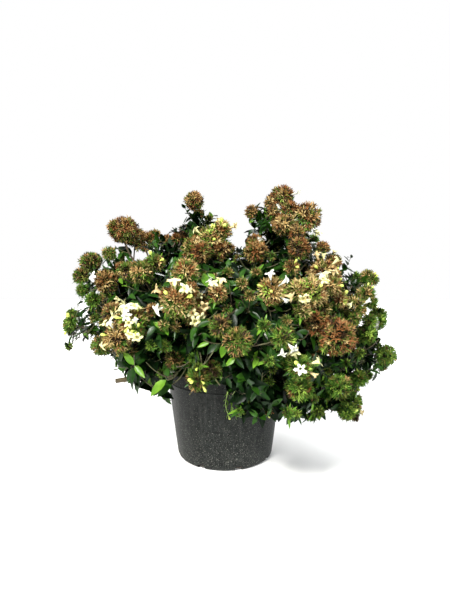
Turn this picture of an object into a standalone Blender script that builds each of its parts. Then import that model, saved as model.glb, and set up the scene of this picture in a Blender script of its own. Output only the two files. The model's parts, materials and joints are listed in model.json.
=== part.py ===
"""Potted abelia: a low, wide shrub in flower, in a five-litre nursery pot.

Metres, +Z up. The origin is the centre of the pot's flat underside, and -Y is the front.
A bearing turns from +X towards +Y, and a rise is the angle above level, both in degrees.
"""

import math
import random

import bmesh
import bpy
import numpy as np
from mathutils import Matrix, Quaternion, Vector
from mathutils.bvhtree import BVHTree

# Nursery pot
POT_HEIGHT = 0.182
RIM_RADIUS = 0.1140
BASE_RADIUS = 0.0925
WALL = 0.0020
FLOOR = 0.0030
LIP_HEIGHT = 0.0045
BAND_HEIGHT = 0.022
BAND_STEP = 0.0025
LIP_STEP = 0.0010
CHAMFER = 0.0005
CORNER = 0.007
INSIDE_CORNER_STEPS = 2
OUTSIDE_CORNER_STEPS = 3
TURN_STEPS = 30
DRAIN_SLOTS = 8
DRAIN_BEARING = 16.0
DRAIN_SIZE = (0.020, 0.014, 0.016)
DRAIN_INSET = 0.0035

# Potting mix and the woody crown that the canes rise from
GAP = 0.0003
SOIL_TOP = 0.164
SOIL_EDGE = 0.158
SOIL_MARGIN = 0.004
CROWN_BALL = 0.032
CROWN_FLARE = 0.040
CROWN_NECK = 0.014
CROWN_WAIST = 0.0015
CROWN_WAIST_SHARE = 0.4
CROWN_STEPS = 24
CROWN_RINGS = 6

# Canes and the leafy stems that grow on from them
HEART = Vector((0.0, 0.0, 0.200))
CANE_SHARE = 0.36
CANE_ROOT_RADIUS = 0.0032
CANE_TIP_RADIUS = 0.0024
CANE_POINTS = 5
LIMB_STEPS = 48
ROOT_RISE = 28.0
ROOT_RISE_SHARE = 0.65
ROOT_PULL = 0.42
TIP_RISE = 5.0
TIP_RISE_SHARE = 1.6
TIP_RISE_LIMIT = 85.0
TIP_PULL = 0.33
STEM_RADIUS = 0.0027
STEM_TIP_RADIUS = 0.0016
STEM_POINTS = 4
LEAFY_STEM_POINTS = 6
TWIG_RADIUS = 0.0013
TWIG_TIP_RADIUS = 0.0010
TWIG_ANGLE = 52.0
TWIG_LENGTH = 0.070
TWIGS = 5
FIRST_TWIG = 0.88
TWIG_STEP = 0.19
TWIG_SHRINKS = (1.0, 0.85, 0.7, 0.55, 0.42)
TWIG_LIFT = 0.45
HEAD_SHARE = 0.3
LOOK_AHEAD = 0.02
GOLDEN_ANGLE = 137.5

# Leaves and flower heads
LEAF_LENGTH = 0.078
LEAF_WIDTH = 0.044
LEAF_WIDEST = 0.42
LEAF_CUP = 0.09
LEAF_THICKNESS = 0.016
LEAF_ANGLE = 68.0
LEAF_SPACING = 0.019
LEAF_STAGGER = 0.0020
LEAF_SIZES = (1.0, 1.0, 0.84, 0.84, 0.68, 0.68, 0.54, 0.54, 0.42)
LEAF_STRAY = 28.0
LEAF_START = 0.004
LEAF_HEAD_SHARE = 0.6
BARE_STEM = 0.022
BARE_TWIG = 0.014
MASS_LEAVES = 15
SIDE_HEAD = 0.80
TRUMPET_LENGTH = 0.017
TRUMPET_RADIUS = 0.0085
TRUMPET_SUNK = 0.30
TRUMPET_NECK = 0.16
TRUMPET_STRAY = 0.7
CLEAR = 0.0013
OVERREACH = 0.020
DROOP = 0.028

# One row for each mass: name, bearing, rise, reach from HEART, radius of its end head,
# side heads, turn of its first twig, open flowers on each head, 1 where a bare cane carries it
# or 0 where its stem is leafy from the woody crown on
MASSES = (
    ("top_right", 16, 69, 0.319, 0.025, 2, 125, 1, 1),
    ("gold_right", 342, 60, 0.303, 0.029, 2, 220, 0, 1),
    ("top_left", 128, 71, 0.308, 0.021, 1, 325, 0, 1),
    ("big_left", 246, 74, 0.228, 0.031, 2, 330, 1, 1),
    ("upper_left", 180, 51, 0.305, 0.027, 2, 300, 0, 1),
    ("left", 172, 33, 0.317, 0.023, 2, 100, 0, 1),
    ("left_front", 223, 43, 0.258, 0.023, 2, 320, 0, 1),
    ("left_low", 183, 12, 0.300, 0.017, 2, 140, 0, 1),
    ("left_low_front", 224, 17, 0.252, 0.027, 2, 280, 2, 1),
    ("front_left", 252, 31, 0.275, 0.028, 2, 225, 1, 1),
    ("front_mid", 274, 19, 0.285, 0.024, 1, 55, 0, 0),
    ("front_low", 258, 4, 0.205, 0.022, 2, 295, 0, 0),
    ("front_right_up", 290, 36, 0.262, 0.025, 2, 125, 2, 1),
    ("top_front", 300, 63, 0.232, 0.022, 1, 330, 0, 1),
    ("right_up", 331, 41, 0.255, 0.029, 2, 115, 1, 1),
    ("right_shoulder", 11, 26, 0.322, 0.018, 2, 105, 0, 1),
    ("right_front", 314, 17, 0.268, 0.033, 2, 250, 1, 1),
    ("right_tip", 354, 1, 0.306, 0.022, 2, 200, 0, 1),
    ("right_low_front", 297, 2, 0.252, 0.024, 2, 210, 1, 1),
    ("right_low", 333, -13, 0.256, 0.022, 2, 125, 0, 1),
    ("bottom_left", 206, -8, 0.205, 0.000, 0, 300, 0, 0),
    ("back_top", 88, 42, 0.250, 0.024, 2, 0, 0, 1),
    ("back_left_up", 143, 44, 0.298, 0.024, 2, 60, 1, 1),
    ("back_right_up", 42, 43, 0.296, 0.024, 2, 160, 1, 1),
    ("back_left", 152, 16, 0.300, 0.023, 2, 90, 1, 1),
    ("back_right", 30, 9, 0.298, 0.023, 2, 30, 0, 1),
    ("back_mid", 98, 17, 0.285, 0.024, 2, 140, 0, 0),
    ("back_mid_right", 64, 19, 0.290, 0.023, 2, 110, 1, 1),
    ("back_low", 122, -6, 0.250, 0.022, 2, 20, 0, 0),
)

POT_FINISH = ("pot_plastic", (0.036, 0.038, 0.040), 0.55)
SOIL_FINISH = ("potting_mix", (0.050, 0.034, 0.022), 0.95)
BARK_FINISH = ("bark", (0.19, 0.12, 0.075), 0.80)
FOLIAGE_FINISH = ("foliage", (0.050, 0.125, 0.030), 0.40)


def clear_scene():
    for obj in list(bpy.data.objects):
        bpy.data.objects.remove(obj)


def finish_of(name, colour, roughness):
    material = bpy.data.materials.get(name) or bpy.data.materials.new(name)
    material.use_nodes = True
    shader = material.node_tree.nodes["Principled BSDF"]
    shader.inputs["Base Color"].default_value = (*colour, 1.0)
    shader.inputs["Roughness"].default_value = roughness
    shader.inputs["Metallic"].default_value = 0.0
    return material


def new_collection(name):
    collection = bpy.data.collections.new(name)
    bpy.context.scene.collection.children.link(collection)
    return collection


def new_object(name, mesh, collection):
    obj = bpy.data.objects.new(name, mesh)
    collection.objects.link(obj)
    return obj


def mesh_from(name, shape):
    mesh = bpy.data.meshes.new(name)
    shape.to_mesh(mesh)
    shape.free()
    return mesh


def direction(bearing, rise):
    b, r = math.radians(bearing), math.radians(rise)
    return Vector((math.cos(b) * math.cos(r), math.sin(b) * math.cos(r), math.sin(r)))


# --- Pot and potting mix ---------------------------------------------------------------


def turned(name, profile, steps, collection, finish):
    """A profile of (radius, height) points, from its inner end round to its outer, turned about Z."""
    mesh = bpy.data.meshes.new(name)
    edges = [(i, i + 1) for i in range(len(profile) - 1)]
    mesh.from_pydata([(r, 0.0, z) for r, z in profile], edges, [])
    obj = new_object(name, mesh, collection)
    screw = obj.modifiers.new("turn", "SCREW")
    screw.steps = screw.render_steps = steps
    screw.use_merge_vertices = True
    screw.merge_threshold = 0.0001
    mesh.materials.append(finish_of(*finish))
    return obj


def corner_points(radius, height, size, count):
    """A round corner between a floor at this height and a wall at this radius, from wall to floor."""
    angles = [math.radians(90.0 * i / count) for i in range(count + 1)]
    return [
        (radius - size + size * math.cos(a), height + size - size * math.sin(a))
        for a in angles
    ]


def wall_radius(z):
    """Outer radius of the pot's tapered wall, below the rim band."""
    top = RIM_RADIUS - BAND_STEP - LIP_STEP
    share = z / (POT_HEIGHT - BAND_HEIGHT)
    return BASE_RADIUS + (top - BASE_RADIUS) * share


def pot_profile():
    band_foot = POT_HEIGHT - BAND_HEIGHT
    size = CORNER - WALL
    inner_corner = corner_points(wall_radius(FLOOR) - WALL, FLOOR, size, INSIDE_CORNER_STEPS)
    inside = [(0.0, FLOOR), *reversed(inner_corner)]
    inside += [
        (wall_radius(band_foot) - WALL, band_foot + WALL),
        (RIM_RADIUS - BAND_STEP, band_foot + 2 * WALL),
        (RIM_RADIUS - BAND_STEP, POT_HEIGHT),
    ]
    outside = [
        (RIM_RADIUS, POT_HEIGHT),
        (RIM_RADIUS, POT_HEIGHT - LIP_HEIGHT),
        (RIM_RADIUS - LIP_STEP, POT_HEIGHT - LIP_HEIGHT - CHAMFER),
        (RIM_RADIUS - LIP_STEP, band_foot),
        (wall_radius(band_foot), band_foot - CHAMFER),
    ]
    outside += corner_points(wall_radius(0.0), 0.0, CORNER, OUTSIDE_CORNER_STEPS)
    return [*inside, *outside, (0.0, 0.0)]


def build_pot(collection, cutters):
    pot = turned("pot", pot_profile(), TURN_STEPS, collection, POT_FINISH)
    wide, deep, high = DRAIN_SIZE
    for i in range(DRAIN_SLOTS):
        bearing = DRAIN_BEARING + 360.0 * i / DRAIN_SLOTS
        shape = bmesh.new()
        bmesh.ops.create_cube(shape, size=1.0)
        cutter = new_object(
            f"drain_cutter_{i}", mesh_from("drain_cutter", shape), cutters
        )
        size = Matrix.Diagonal((deep, wide, high, 1.0))
        reach = Matrix.Translation((wall_radius(0.0) - DRAIN_INSET, 0.0, 0.0))
        turn = Matrix.Rotation(math.radians(bearing), 4, "Z")
        cutter.matrix_world = turn @ reach @ size
        cutter.display_type = "WIRE"
        cutter.hide_render = True
    cut = pot.modifiers.new("drain_slots", "BOOLEAN")
    cut.operation = "DIFFERENCE"
    cut.operand_type = "COLLECTION"
    cut.collection = cutters
    cut.solver = "EXACT"
    return pot


def build_soil(collection):
    edge = wall_radius(SOIL_EDGE) - WALL - 2 * GAP
    inside = wall_radius(FLOOR) - WALL - 2 * GAP
    foot = corner_points(inside, FLOOR + GAP, CORNER - WALL, INSIDE_CORNER_STEPS)
    flat = CROWN_FLARE + SOIL_MARGIN
    profile = [(0.0, SOIL_TOP), (flat, SOIL_TOP), (edge, SOIL_EDGE), *foot]
    profile.append((0.0, FLOOR + GAP))
    return turned("potting_mix", profile, TURN_STEPS, collection, SOIL_FINISH)


# --- Woody crown and canes -------------------------------------------------------------

CROWN_CENTRE = Vector((0.0, 0.0, SOIL_TOP + GAP + CROWN_NECK))


def build_crown(collection):
    foot = SOIL_TOP + GAP
    angles = [math.radians(90.0 - 90.0 * i / CROWN_RINGS) for i in range(CROWN_RINGS + 1)]
    dome = [
        (CROWN_BALL * math.cos(a), CROWN_CENTRE.z + CROWN_BALL * math.sin(a))
        for a in angles
    ]
    dome[0] = (0.0, CROWN_CENTRE.z + CROWN_BALL)
    waist = (CROWN_BALL + CROWN_WAIST, foot + CROWN_WAIST_SHARE * CROWN_NECK)
    profile = [*dome, waist, (CROWN_FLARE, foot), (0.0, foot)]
    return turned("woody_crown", profile, CROWN_STEPS, collection, BARK_FINISH)


def bezier(knots, share):
    a, b, c, d = knots
    s, t = 1.0 - share, share
    return a * s**3 + b * 3 * s * s * t + c * 3 * s * t * t + d * t**3


def limb_line(bearing, rise, reach):
    """One cane and its leafy stem: out of the woody crown, over the rim, to the mass's tip."""
    out = direction(bearing, ROOT_RISE + ROOT_RISE_SHARE * rise)
    root = CROWN_CENTRE + out * (CROWN_BALL + GAP)
    tip = HEART + direction(bearing, rise) * reach
    end = direction(bearing, min(TIP_RISE_LIMIT, TIP_RISE + TIP_RISE_SHARE * rise))
    span = (tip - root).length
    knots = (root, root + out * span * ROOT_PULL, tip - end * span * TIP_PULL, tip)
    return [bezier(knots, i / LIMB_STEPS) for i in range(LIMB_STEPS + 1)]


def part_of(line, low, high, count):
    """Points spaced evenly along part of a line, between two shares of its length."""
    steps = [(b - a).length for a, b in zip(line, line[1:])]
    marks = [sum(steps[:i]) for i in range(len(line))]
    points = []
    for i in range(count):
        want = marks[-1] * (low + (high - low) * i / (count - 1))
        k = max(j for j in range(len(steps)) if marks[j] <= want + 1e-9)
        points.append(line[k].lerp(line[k + 1], (want - marks[k]) / steps[k]))
    return points


def line_length(line):
    return sum((b - a).length for a, b in zip(line, line[1:]))


def build_cane(name, points, collection):
    """One tapering cane, ending flat at both ends."""
    curve = bpy.data.curves.new(name, "CURVE")
    curve.dimensions = "3D"
    curve.bevel_depth = CANE_ROOT_RADIUS
    curve.bevel_resolution = 1
    curve.use_fill_caps = True
    spline = curve.splines.new("POLY")
    spline.points.add(len(points) - 1)
    for i, (point, place) in enumerate(zip(spline.points, points)):
        share = i / (len(points) - 1)
        point.co = (*place, 1.0)
        point.radius = 1.0 + (CANE_TIP_RADIUS / CANE_ROOT_RADIUS - 1.0) * share
    curve.materials.append(finish_of(*BARK_FINISH))
    return new_object(name, curve, collection)


# --- The room that each mass may fill --------------------------------------------------


class Room:
    """Keeps each mass nearer to its own limbs than to another's, and off the canes and the pot."""

    def __init__(self, canes):
        self.claims = []
        for cane in canes:
            self.claim(None, cane, CANE_ROOT_RADIUS)

    def claim(self, owner, line, radius):
        """Gives this owner the surroundings of a line, or of a ball where the line is one point."""
        ends = line[1:] or line
        for start, end in zip(line, ends):
            self.claims.append((owner, radius, start, end))

    def settle(self):
        """Lists the claims as arrays, once the last has been made."""
        owners, radii, starts, ends = zip(*self.claims)
        self.owners = np.array([-1 if owner is None else owner for owner in owners])
        self.radii = np.array(radii)
        self.starts = np.array(starts)
        self.along = np.array(ends) - self.starts
        self.squares = np.maximum((self.along**2).sum(1), 1e-12)

    def distances(self, points):
        """Distance from each point to the surface of each claim."""
        offsets = points[:, None] - self.starts
        shares = np.clip((offsets * self.along).sum(2) / self.squares, 0.0, 1.0)
        nearest = shares[..., None] * self.along
        return np.linalg.norm(offsets - nearest, axis=2) - self.radii

    def holds(self, mine, points):
        points = np.array(points)
        _, bearing, rise, reach = MASSES[mine][:4]
        if (np.linalg.norm(points - np.array(HEART), axis=1) > reach + OVERREACH).any():
            return False
        tip = HEART + direction(bearing, rise) * reach
        if points[:, 2].min() < min(tip.z, POT_HEIGHT) - DROOP:
            return False
        radius, height = np.hypot(points[:, 0], points[:, 1]), points[:, 2]
        near_rim = radius < RIM_RADIUS + 2 * CLEAR
        if (near_rim & (height < POT_HEIGHT + 2 * CLEAR)).any():
            return False
        far = self.distances(points)
        if (far[:, self.owners == -1] < CLEAR).any():
            return False
        own = far[:, self.owners == mine].min(1)
        others = (self.owners != mine) & (self.owners != -1)
        return bool((far[:, others].min(1) > own + 2 * CLEAR).all())


# --- Leaves, twigs, heads and flowers --------------------------------------------------


def leaf_shape(base, along, normal, length):
    """A cupped leaf of eight faces: an octahedron drawn out, widest at two fifths of its length."""
    side = normal.cross(along).normalized()
    up = along.cross(side).normalized()
    half, thick = LEAF_WIDTH / LEAF_LENGTH * length / 2, LEAF_THICKNESS * length
    shape = bmesh.new()
    bmesh.ops.create_uvsphere(shape, u_segments=4, v_segments=2, radius=1.0)
    for vert in shape.verts:
        x, y, z = vert.co
        wide = abs(y) > 0.5
        middle = abs(z) > 0.5
        run = LEAF_WIDEST if wide or middle else (x + 1.0) / 2.0
        lift = z * thick / 2 - (LEAF_CUP * length if middle else 0.0)
        vert.co = base + along * run * length + side * y * half + up * lift
    return shape


def leaf_samples(shape, base):
    """Points all over a leaf but its root: its corners, and two or three along each edge."""
    corners = [vert.co.copy() for vert in shape.verts]
    root = min(range(len(corners)), key=lambda i: (corners[i] - base).length)
    points = [corner for i, corner in enumerate(corners) if i != root]
    for edge in shape.edges:
        ends = [vert.index for vert in edge.verts]
        shares = (0.25, 0.5, 0.75)
        if root == ends[0]:
            shares = (0.5, 0.8)
        if root == ends[1]:
            shares = (0.2, 0.5)
        points += [corners[ends[0]].lerp(corners[ends[1]], share) for share in shares]
    return points


def twig_shape(points, thick, thin):
    """A three-sided stem that tapers along its points."""
    shape = bmesh.new()
    rings = []
    for i, point in enumerate(points):
        ahead = points[min(i + 1, len(points) - 1)] - points[max(i - 1, 0)]
        turn = ahead.to_track_quat("Z", "Y")
        radius = thick + (thin - thick) * i / (len(points) - 1)
        ring = []
        for k in range(3):
            angle = math.radians(120.0 * k)
            offset = Vector((math.cos(angle), math.sin(angle), 0.0)) * radius
            ring.append(shape.verts.new(point + turn @ offset))
        rings.append(ring)
    for low, high in zip(rings, rings[1:]):
        for k in range(3):
            nxt = (k + 1) % 3
            shape.faces.new((low[k], low[nxt], high[nxt], high[k]))
    shape.faces.new(reversed(rings[0]))
    shape.faces.new(rings[-1])
    return shape


def head_shape(centre, radius, turn):
    """A round flower head: a ball of twenty faces, with a point for each cluster of calyces."""
    shape = bmesh.new()
    bmesh.ops.create_icosphere(shape, subdivisions=1, radius=radius)
    place = Matrix.Translation(centre) @ turn.to_matrix().to_4x4()
    bmesh.ops.transform(shape, matrix=place, verts=shape.verts[:])
    return shape


def trumpet_shape(root, along, length, radius):
    """An open flower: a five-sided funnel, filled."""
    shape = bmesh.new()
    bmesh.ops.create_cone(
        shape,
        cap_ends=True,
        segments=5,
        radius1=radius * TRUMPET_NECK,
        radius2=radius,
        depth=length,
    )
    turn = along.to_track_quat("Z", "Y").to_matrix().to_4x4()
    place = Matrix.Translation(root + along * length / 2) @ turn
    bmesh.ops.transform(shape, matrix=place, verts=shape.verts[:])
    return shape


# --- The growth rule -------------------------------------------------------------------


def side_frame(along):
    """Two directions across a stem: up and to its side."""
    side = along.cross(Vector((0.0, 0.0, 1.0)))
    if side.length < 0.05:
        side = Vector((0.0, 1.0, 0.0))
    side.normalize()
    return side.cross(along).normalized(), side


def across(along, turn):
    up, side = side_frame(along)
    t = math.radians(turn)
    return up * math.cos(t) + side * math.sin(t)


def twig_line(base, along, turn, angle, length):
    """A side twig: out at an angle from its stem, then bending up towards the light."""
    a = math.radians(angle)
    out = along * math.cos(a) + across(along, turn) * math.sin(a)
    lift = (out + Vector((0.0, 0.0, TWIG_LIFT))).normalized()
    middle = base + out * length * 0.5
    return [base, middle, middle + lift * length * 0.5]


def grow_twigs(index, stem, row, room):
    """The side twigs of a mass, from the tip back: (line, radius of its head or 0)."""
    head, side_heads, turn = row[4:7]
    twigs = []
    for i in range(TWIGS):
        share = FIRST_TWIG - TWIG_STEP * i
        base, ahead = part_of(stem, share, share + LOOK_AHEAD, 2)
        along = (ahead - base).normalized()
        bearing = turn + GOLDEN_ANGLE * i
        radius = head * SIDE_HEAD if i < side_heads else 0.0
        for shrink in TWIG_SHRINKS:
            length = TWIG_LENGTH * shrink + radius * HEAD_SHARE
            line = twig_line(base, along, bearing, TWIG_ANGLE, length)
            if room.holds(index, head_samples(line[-1], radius) + line[1:]):
                twigs.append((line, radius))
                break
    return twigs


def head_samples(centre, radius):
    """Points all over a head's reach, or its centre alone where there is no head."""
    if not radius:
        return [centre]
    points = []
    for rise in (-90, -45, 0, 45, 90):
        count = 1 if abs(rise) == 90 else 8
        for k in range(count):
            points.append(centre + direction(360.0 * k / count, rise) * radius)
    return points


def leaf_places(line, first, spacing, head):
    """Places for opposite leaves, from the line's tip back, each pair a quarter turn from the last.

    Each is (distance from the tip, base, direction of the twig, turn about it).
    """
    length = line_length(line)
    places = []
    if not head:
        end = (line[-1] - line[-2]).normalized()
        places.append((0.0, line[-1] - end * LEAF_STAGGER, end, 0.0))
    back, pair = max(LEAF_START, LEAF_HEAD_SHARE * head), 0
    while length - back > first:
        at = (length - back) / length
        base, ahead = part_of(line, at, at + LOOK_AHEAD, 2)
        along = (ahead - base).normalized()
        for side in (0, 1):
            root = base + along * LEAF_STAGGER * side
            places.append((back, root, along, 45.0 + 90.0 * pair + 180.0 * side))
        back += spacing
        pair += 1
    return places


def leaf_at(base, along, turn, length, chance):
    """One leaf, held out from its twig and drooping a little at chance."""
    out = across(along, turn + chance.uniform(-LEAF_STRAY, LEAF_STRAY))
    angle = math.radians(LEAF_ANGLE + chance.uniform(-LEAF_STRAY, LEAF_STRAY))
    run = along * math.cos(angle) + out * math.sin(angle)
    run = (run + Vector((0.0, 0.0, chance.uniform(-0.25, 0.15)))).normalized()
    face = (base - HEART).normalized() + Vector((0.0, 0.0, 0.4))
    return leaf_shape(base, run, face, length * chance.uniform(0.9, 1.06))


def grow_mass(index, row, stem, twigs, room):
    """All the shapes of one mass, its stem first."""
    head, flowers = row[4], row[7]
    chance = random.Random(row[0])
    shapes = [twig_shape(stem, STEM_RADIUS, STEM_TIP_RADIUS)]
    heads = [(stem[-1], head)] if head else []
    for line, radius in twigs:
        shapes.append(twig_shape(line, TWIG_RADIUS, TWIG_TIP_RADIUS))
        if radius:
            heads.append((line[-1], radius))
    for centre, radius in heads:
        axis = direction(chance.uniform(0.0, 360.0), chance.uniform(-90.0, 90.0))
        turn = Quaternion(axis, chance.uniform(0.0, math.pi))
        shapes.append(head_shape(centre, radius, turn))
        for _ in range(flowers):
            shapes.append(flower_on(centre, radius, chance))
    taken = [BVHTree.FromBMesh(shape) for shape in shapes if len(shape.verts) > 10]
    lines = [(stem, BARE_STEM, head)] + [(line, BARE_TWIG, radius) for line, radius in twigs]
    places = []
    for line, first, radius in lines:
        places += leaf_places(line, first, LEAF_SPACING, radius)
    places.sort(key=lambda place: place[0])
    leaves = 0
    for _, base, along, turn in places:
        for size in LEAF_SIZES:
            leaf = leaf_at(base, along, turn, LEAF_LENGTH * size, chance)
            tree = BVHTree.FromBMesh(leaf)
            free = not any(tree.overlap(other) for other in taken)
            if free and room.holds(index, leaf_samples(leaf, base)):
                shapes.append(leaf)
                taken.append(tree)
                leaves += 1
                break
            leaf.free()
        if leaves == MASS_LEAVES:
            break
    return shapes


def flower_on(centre, radius, chance):
    """A trumpet standing out of a head, on its outer and upper side."""
    outward = (centre - HEART).normalized()
    stray = direction(chance.uniform(0.0, 360.0), chance.uniform(-60.0, 60.0))
    along = (outward + stray * TRUMPET_STRAY).normalized()
    root = centre + along * radius * (1.0 - TRUMPET_SUNK)
    return trumpet_shape(root, along, TRUMPET_LENGTH, TRUMPET_RADIUS)


# --- Joining a mass --------------------------------------------------------------------


def shell_volume(faces):
    return sum(
        f.calc_area() * f.normal.dot(f.calc_center_median()) / 3.0 for f in faces
    )


def shells_of(shape):
    """The faces of each separate shell."""
    left, shells = set(shape.faces), []
    while left:
        found, edge_of_search = set(), [left.pop()]
        while edge_of_search:
            face = edge_of_search.pop()
            found.add(face)
            for edge in face.edges:
                for other in edge.link_faces:
                    if other in left:
                        left.discard(other)
                        edge_of_search.append(other)
        shells.append(found)
    return shells


def keep_main_shell(mesh):
    """Fills the hollows that fusing has sealed and drops loose scraps."""
    shape = bmesh.new()
    shape.from_mesh(mesh)
    shells = shells_of(shape)
    main = max(shells, key=shell_volume)
    extra = [face for shell in shells if shell is not main for face in shell]
    bmesh.ops.delete(shape, geom=extra, context="FACES")
    bmesh.ops.triangulate(shape, faces=shape.faces[:])
    shape.to_mesh(mesh)
    shape.free()


def join(name, shapes, collection, finish):
    """The union of all the shapes, as one object."""
    pieces = bpy.data.collections.new(name + "_pieces")
    bpy.context.scene.collection.children.link(pieces)
    body = new_object(name, mesh_from(name, shapes[0]), collection)
    for i, shape in enumerate(shapes[1:]):
        new_object(f"{name}_piece_{i}", mesh_from("piece", shape), pieces)
    fuse = body.modifiers.new("fuse", "BOOLEAN")
    fuse.operation = "UNION"
    fuse.operand_type = "COLLECTION"
    fuse.collection = pieces
    fuse.solver = "EXACT"
    graph = bpy.context.evaluated_depsgraph_get()
    joined = bpy.data.meshes.new_from_object(body.evaluated_get(graph))
    body.modifiers.clear()
    body.data = joined
    for obj in list(pieces.objects):
        bpy.data.objects.remove(obj)
    bpy.data.collections.remove(pieces)
    keep_main_shell(joined)
    joined.materials.clear()
    joined.materials.append(finish_of(*finish))
    return body


# --- The plant -------------------------------------------------------------------------


def build_plant(collection):
    lines = [limb_line(row[1], row[2], row[3]) for row in MASSES]
    canes, stems = [], []
    for row, line in zip(MASSES, lines):
        share = CANE_SHARE * row[8]
        canes.append(part_of(line, 0.0, share, CANE_POINTS) if share else None)
        start = share + GAP / line_length(line) if share else 0.0
        count = STEM_POINTS if share else LEAFY_STEM_POINTS
        stems.append(part_of(line, start, 1.0, count))
    room = Room(filter(None, canes))
    for index, row in enumerate(MASSES):
        room.claim(index, stems[index], 0.0)
        if row[4]:
            room.claim(index, stems[index][-1:], row[4])
    room.settle()
    twigs = [grow_twigs(i, stems[i], row, room) for i, row in enumerate(MASSES)]
    for index, found in enumerate(twigs):
        for line, radius in found:
            room.claim(index, line, 0.0)
            if radius:
                room.claim(index, line[-1:], radius)
    room.settle()
    for index, row in enumerate(MASSES):
        if canes[index]:
            build_cane("cane_" + row[0], canes[index], collection)
        shapes = grow_mass(index, row, stems[index], twigs[index], room)
        join("mass_" + row[0], shapes, collection, FOLIAGE_FINISH)


def main():
    clear_scene()
    plant = new_collection("potted_abelia")
    cutters = new_collection("cutters")
    build_pot(plant, cutters)
    build_soil(plant)
    build_crown(plant)
    build_plant(plant)
    cutters.hide_render = True


main()
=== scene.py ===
import json
import math
import random

import bmesh
import bpy
import numpy as np
from mathutils import Matrix, Vector, noise
from mathutils.kdtree import KDTree

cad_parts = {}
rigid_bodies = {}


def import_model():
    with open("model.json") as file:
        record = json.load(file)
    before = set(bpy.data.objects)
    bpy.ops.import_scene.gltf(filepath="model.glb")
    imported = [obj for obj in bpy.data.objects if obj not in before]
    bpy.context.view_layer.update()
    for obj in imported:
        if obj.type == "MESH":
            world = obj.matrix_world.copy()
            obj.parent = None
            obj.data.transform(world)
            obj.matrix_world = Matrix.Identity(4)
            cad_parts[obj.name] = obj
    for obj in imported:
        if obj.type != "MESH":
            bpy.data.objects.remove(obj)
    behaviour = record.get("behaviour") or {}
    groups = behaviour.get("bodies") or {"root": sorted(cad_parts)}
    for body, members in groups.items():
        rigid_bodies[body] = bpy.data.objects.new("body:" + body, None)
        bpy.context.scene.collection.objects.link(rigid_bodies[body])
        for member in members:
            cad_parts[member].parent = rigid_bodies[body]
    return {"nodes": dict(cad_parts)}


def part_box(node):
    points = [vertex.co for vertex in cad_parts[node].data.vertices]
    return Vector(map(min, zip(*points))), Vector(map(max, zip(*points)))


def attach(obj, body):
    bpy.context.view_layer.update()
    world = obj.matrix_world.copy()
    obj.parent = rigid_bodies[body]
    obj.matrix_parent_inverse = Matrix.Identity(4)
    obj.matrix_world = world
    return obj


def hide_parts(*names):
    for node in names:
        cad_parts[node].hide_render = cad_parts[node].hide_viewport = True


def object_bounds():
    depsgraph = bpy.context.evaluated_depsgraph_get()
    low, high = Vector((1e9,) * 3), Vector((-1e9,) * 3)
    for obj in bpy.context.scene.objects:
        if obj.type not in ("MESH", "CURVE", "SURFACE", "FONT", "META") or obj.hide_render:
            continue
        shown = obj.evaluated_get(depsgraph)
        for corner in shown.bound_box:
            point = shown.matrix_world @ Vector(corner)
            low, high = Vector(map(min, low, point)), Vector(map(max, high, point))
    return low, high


# Metres, +Z up, the front faces -Y. A bearing turns from +X towards +Y and a rise is the
# angle above level, both in degrees.

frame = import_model()
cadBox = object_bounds()
massNodes = sorted(name for name in frame["nodes"] if name.startswith("mass_"))
caneNodes = sorted(name for name in frame["nodes"] if name.startswith("cane_"))
print("frame loaded:", len(massNodes), "masses on", len(caneNodes), "canes")

up = Vector((0.0, 0.0, 1.0))
tiny = 1e-9
upright = 0.05                   # sine of the angle off +Z below which a way has no clear side
inLine = 0.01                    # and of the angle between two ways


def direction(bearing, rise):
    b, r = math.radians(bearing), math.radians(rise)
    return Vector((math.cos(b) * math.cos(r), math.sin(b) * math.cos(r), math.sin(r)))


def anyWay(chance, steepest=90):
    return direction(chance.uniform(0, 360), chance.uniform(-steepest, steepest))


# Nodes of materials and trees

def feed(tree, socket, value):
    # the value is a plain one or another node's output
    if isinstance(value, bpy.types.NodeSocket):
        tree.links.new(value, socket)
    else:
        socket.default_value = value


def addNode(tree, kind, inputs=None, **settings):
    node = tree.nodes.new(kind)
    for name, value in settings.items():
        setattr(node, name, value)
    for name, value in (inputs or {}).items():
        feed(tree, node.inputs[name], value)
    return node


def calculate(tree, operation, first, second, **settings):
    node = addNode(tree, "ShaderNodeMath", {0: first, 1: second}, operation=operation, **settings)
    return node.outputs["Value"]


def noiseAt(tree, place, scale, detail):
    inputs = {"Vector": place, "Scale": scale, "Detail": detail}
    return addNode(tree, "ShaderNodeTexNoise", inputs).outputs["Fac"]


def mapRange(tree, value, before, after):
    return addNode(tree, "ShaderNodeMapRange", {
        "Value": value,
        "From Min": before[0],
        "From Max": before[1],
        "To Min": after[0],
        "To Max": after[1],
    }).outputs["Result"]


def mixColours(tree, share, first, second):
    mix = addNode(tree, "ShaderNodeMix", {"Factor": share}, data_type="RGBA")
    colours = [socket for socket in mix.inputs if socket.type == "RGBA"]
    feed(tree, colours[0], first)
    feed(tree, colours[1], second)
    return next(socket for socket in mix.outputs if socket.type == "RGBA")


# Finishes: two tones mixed by a soft noise, a fine grain for the bump, and a range of roughness

finishing = {
    "tonesApart": (0.36, 0.64),  # where in the noise the dark and the light tone are full
    "patchDetail": 3.0,
    "grainDetail": 2.0,
    "barkDetail": 2.0,
}


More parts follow.
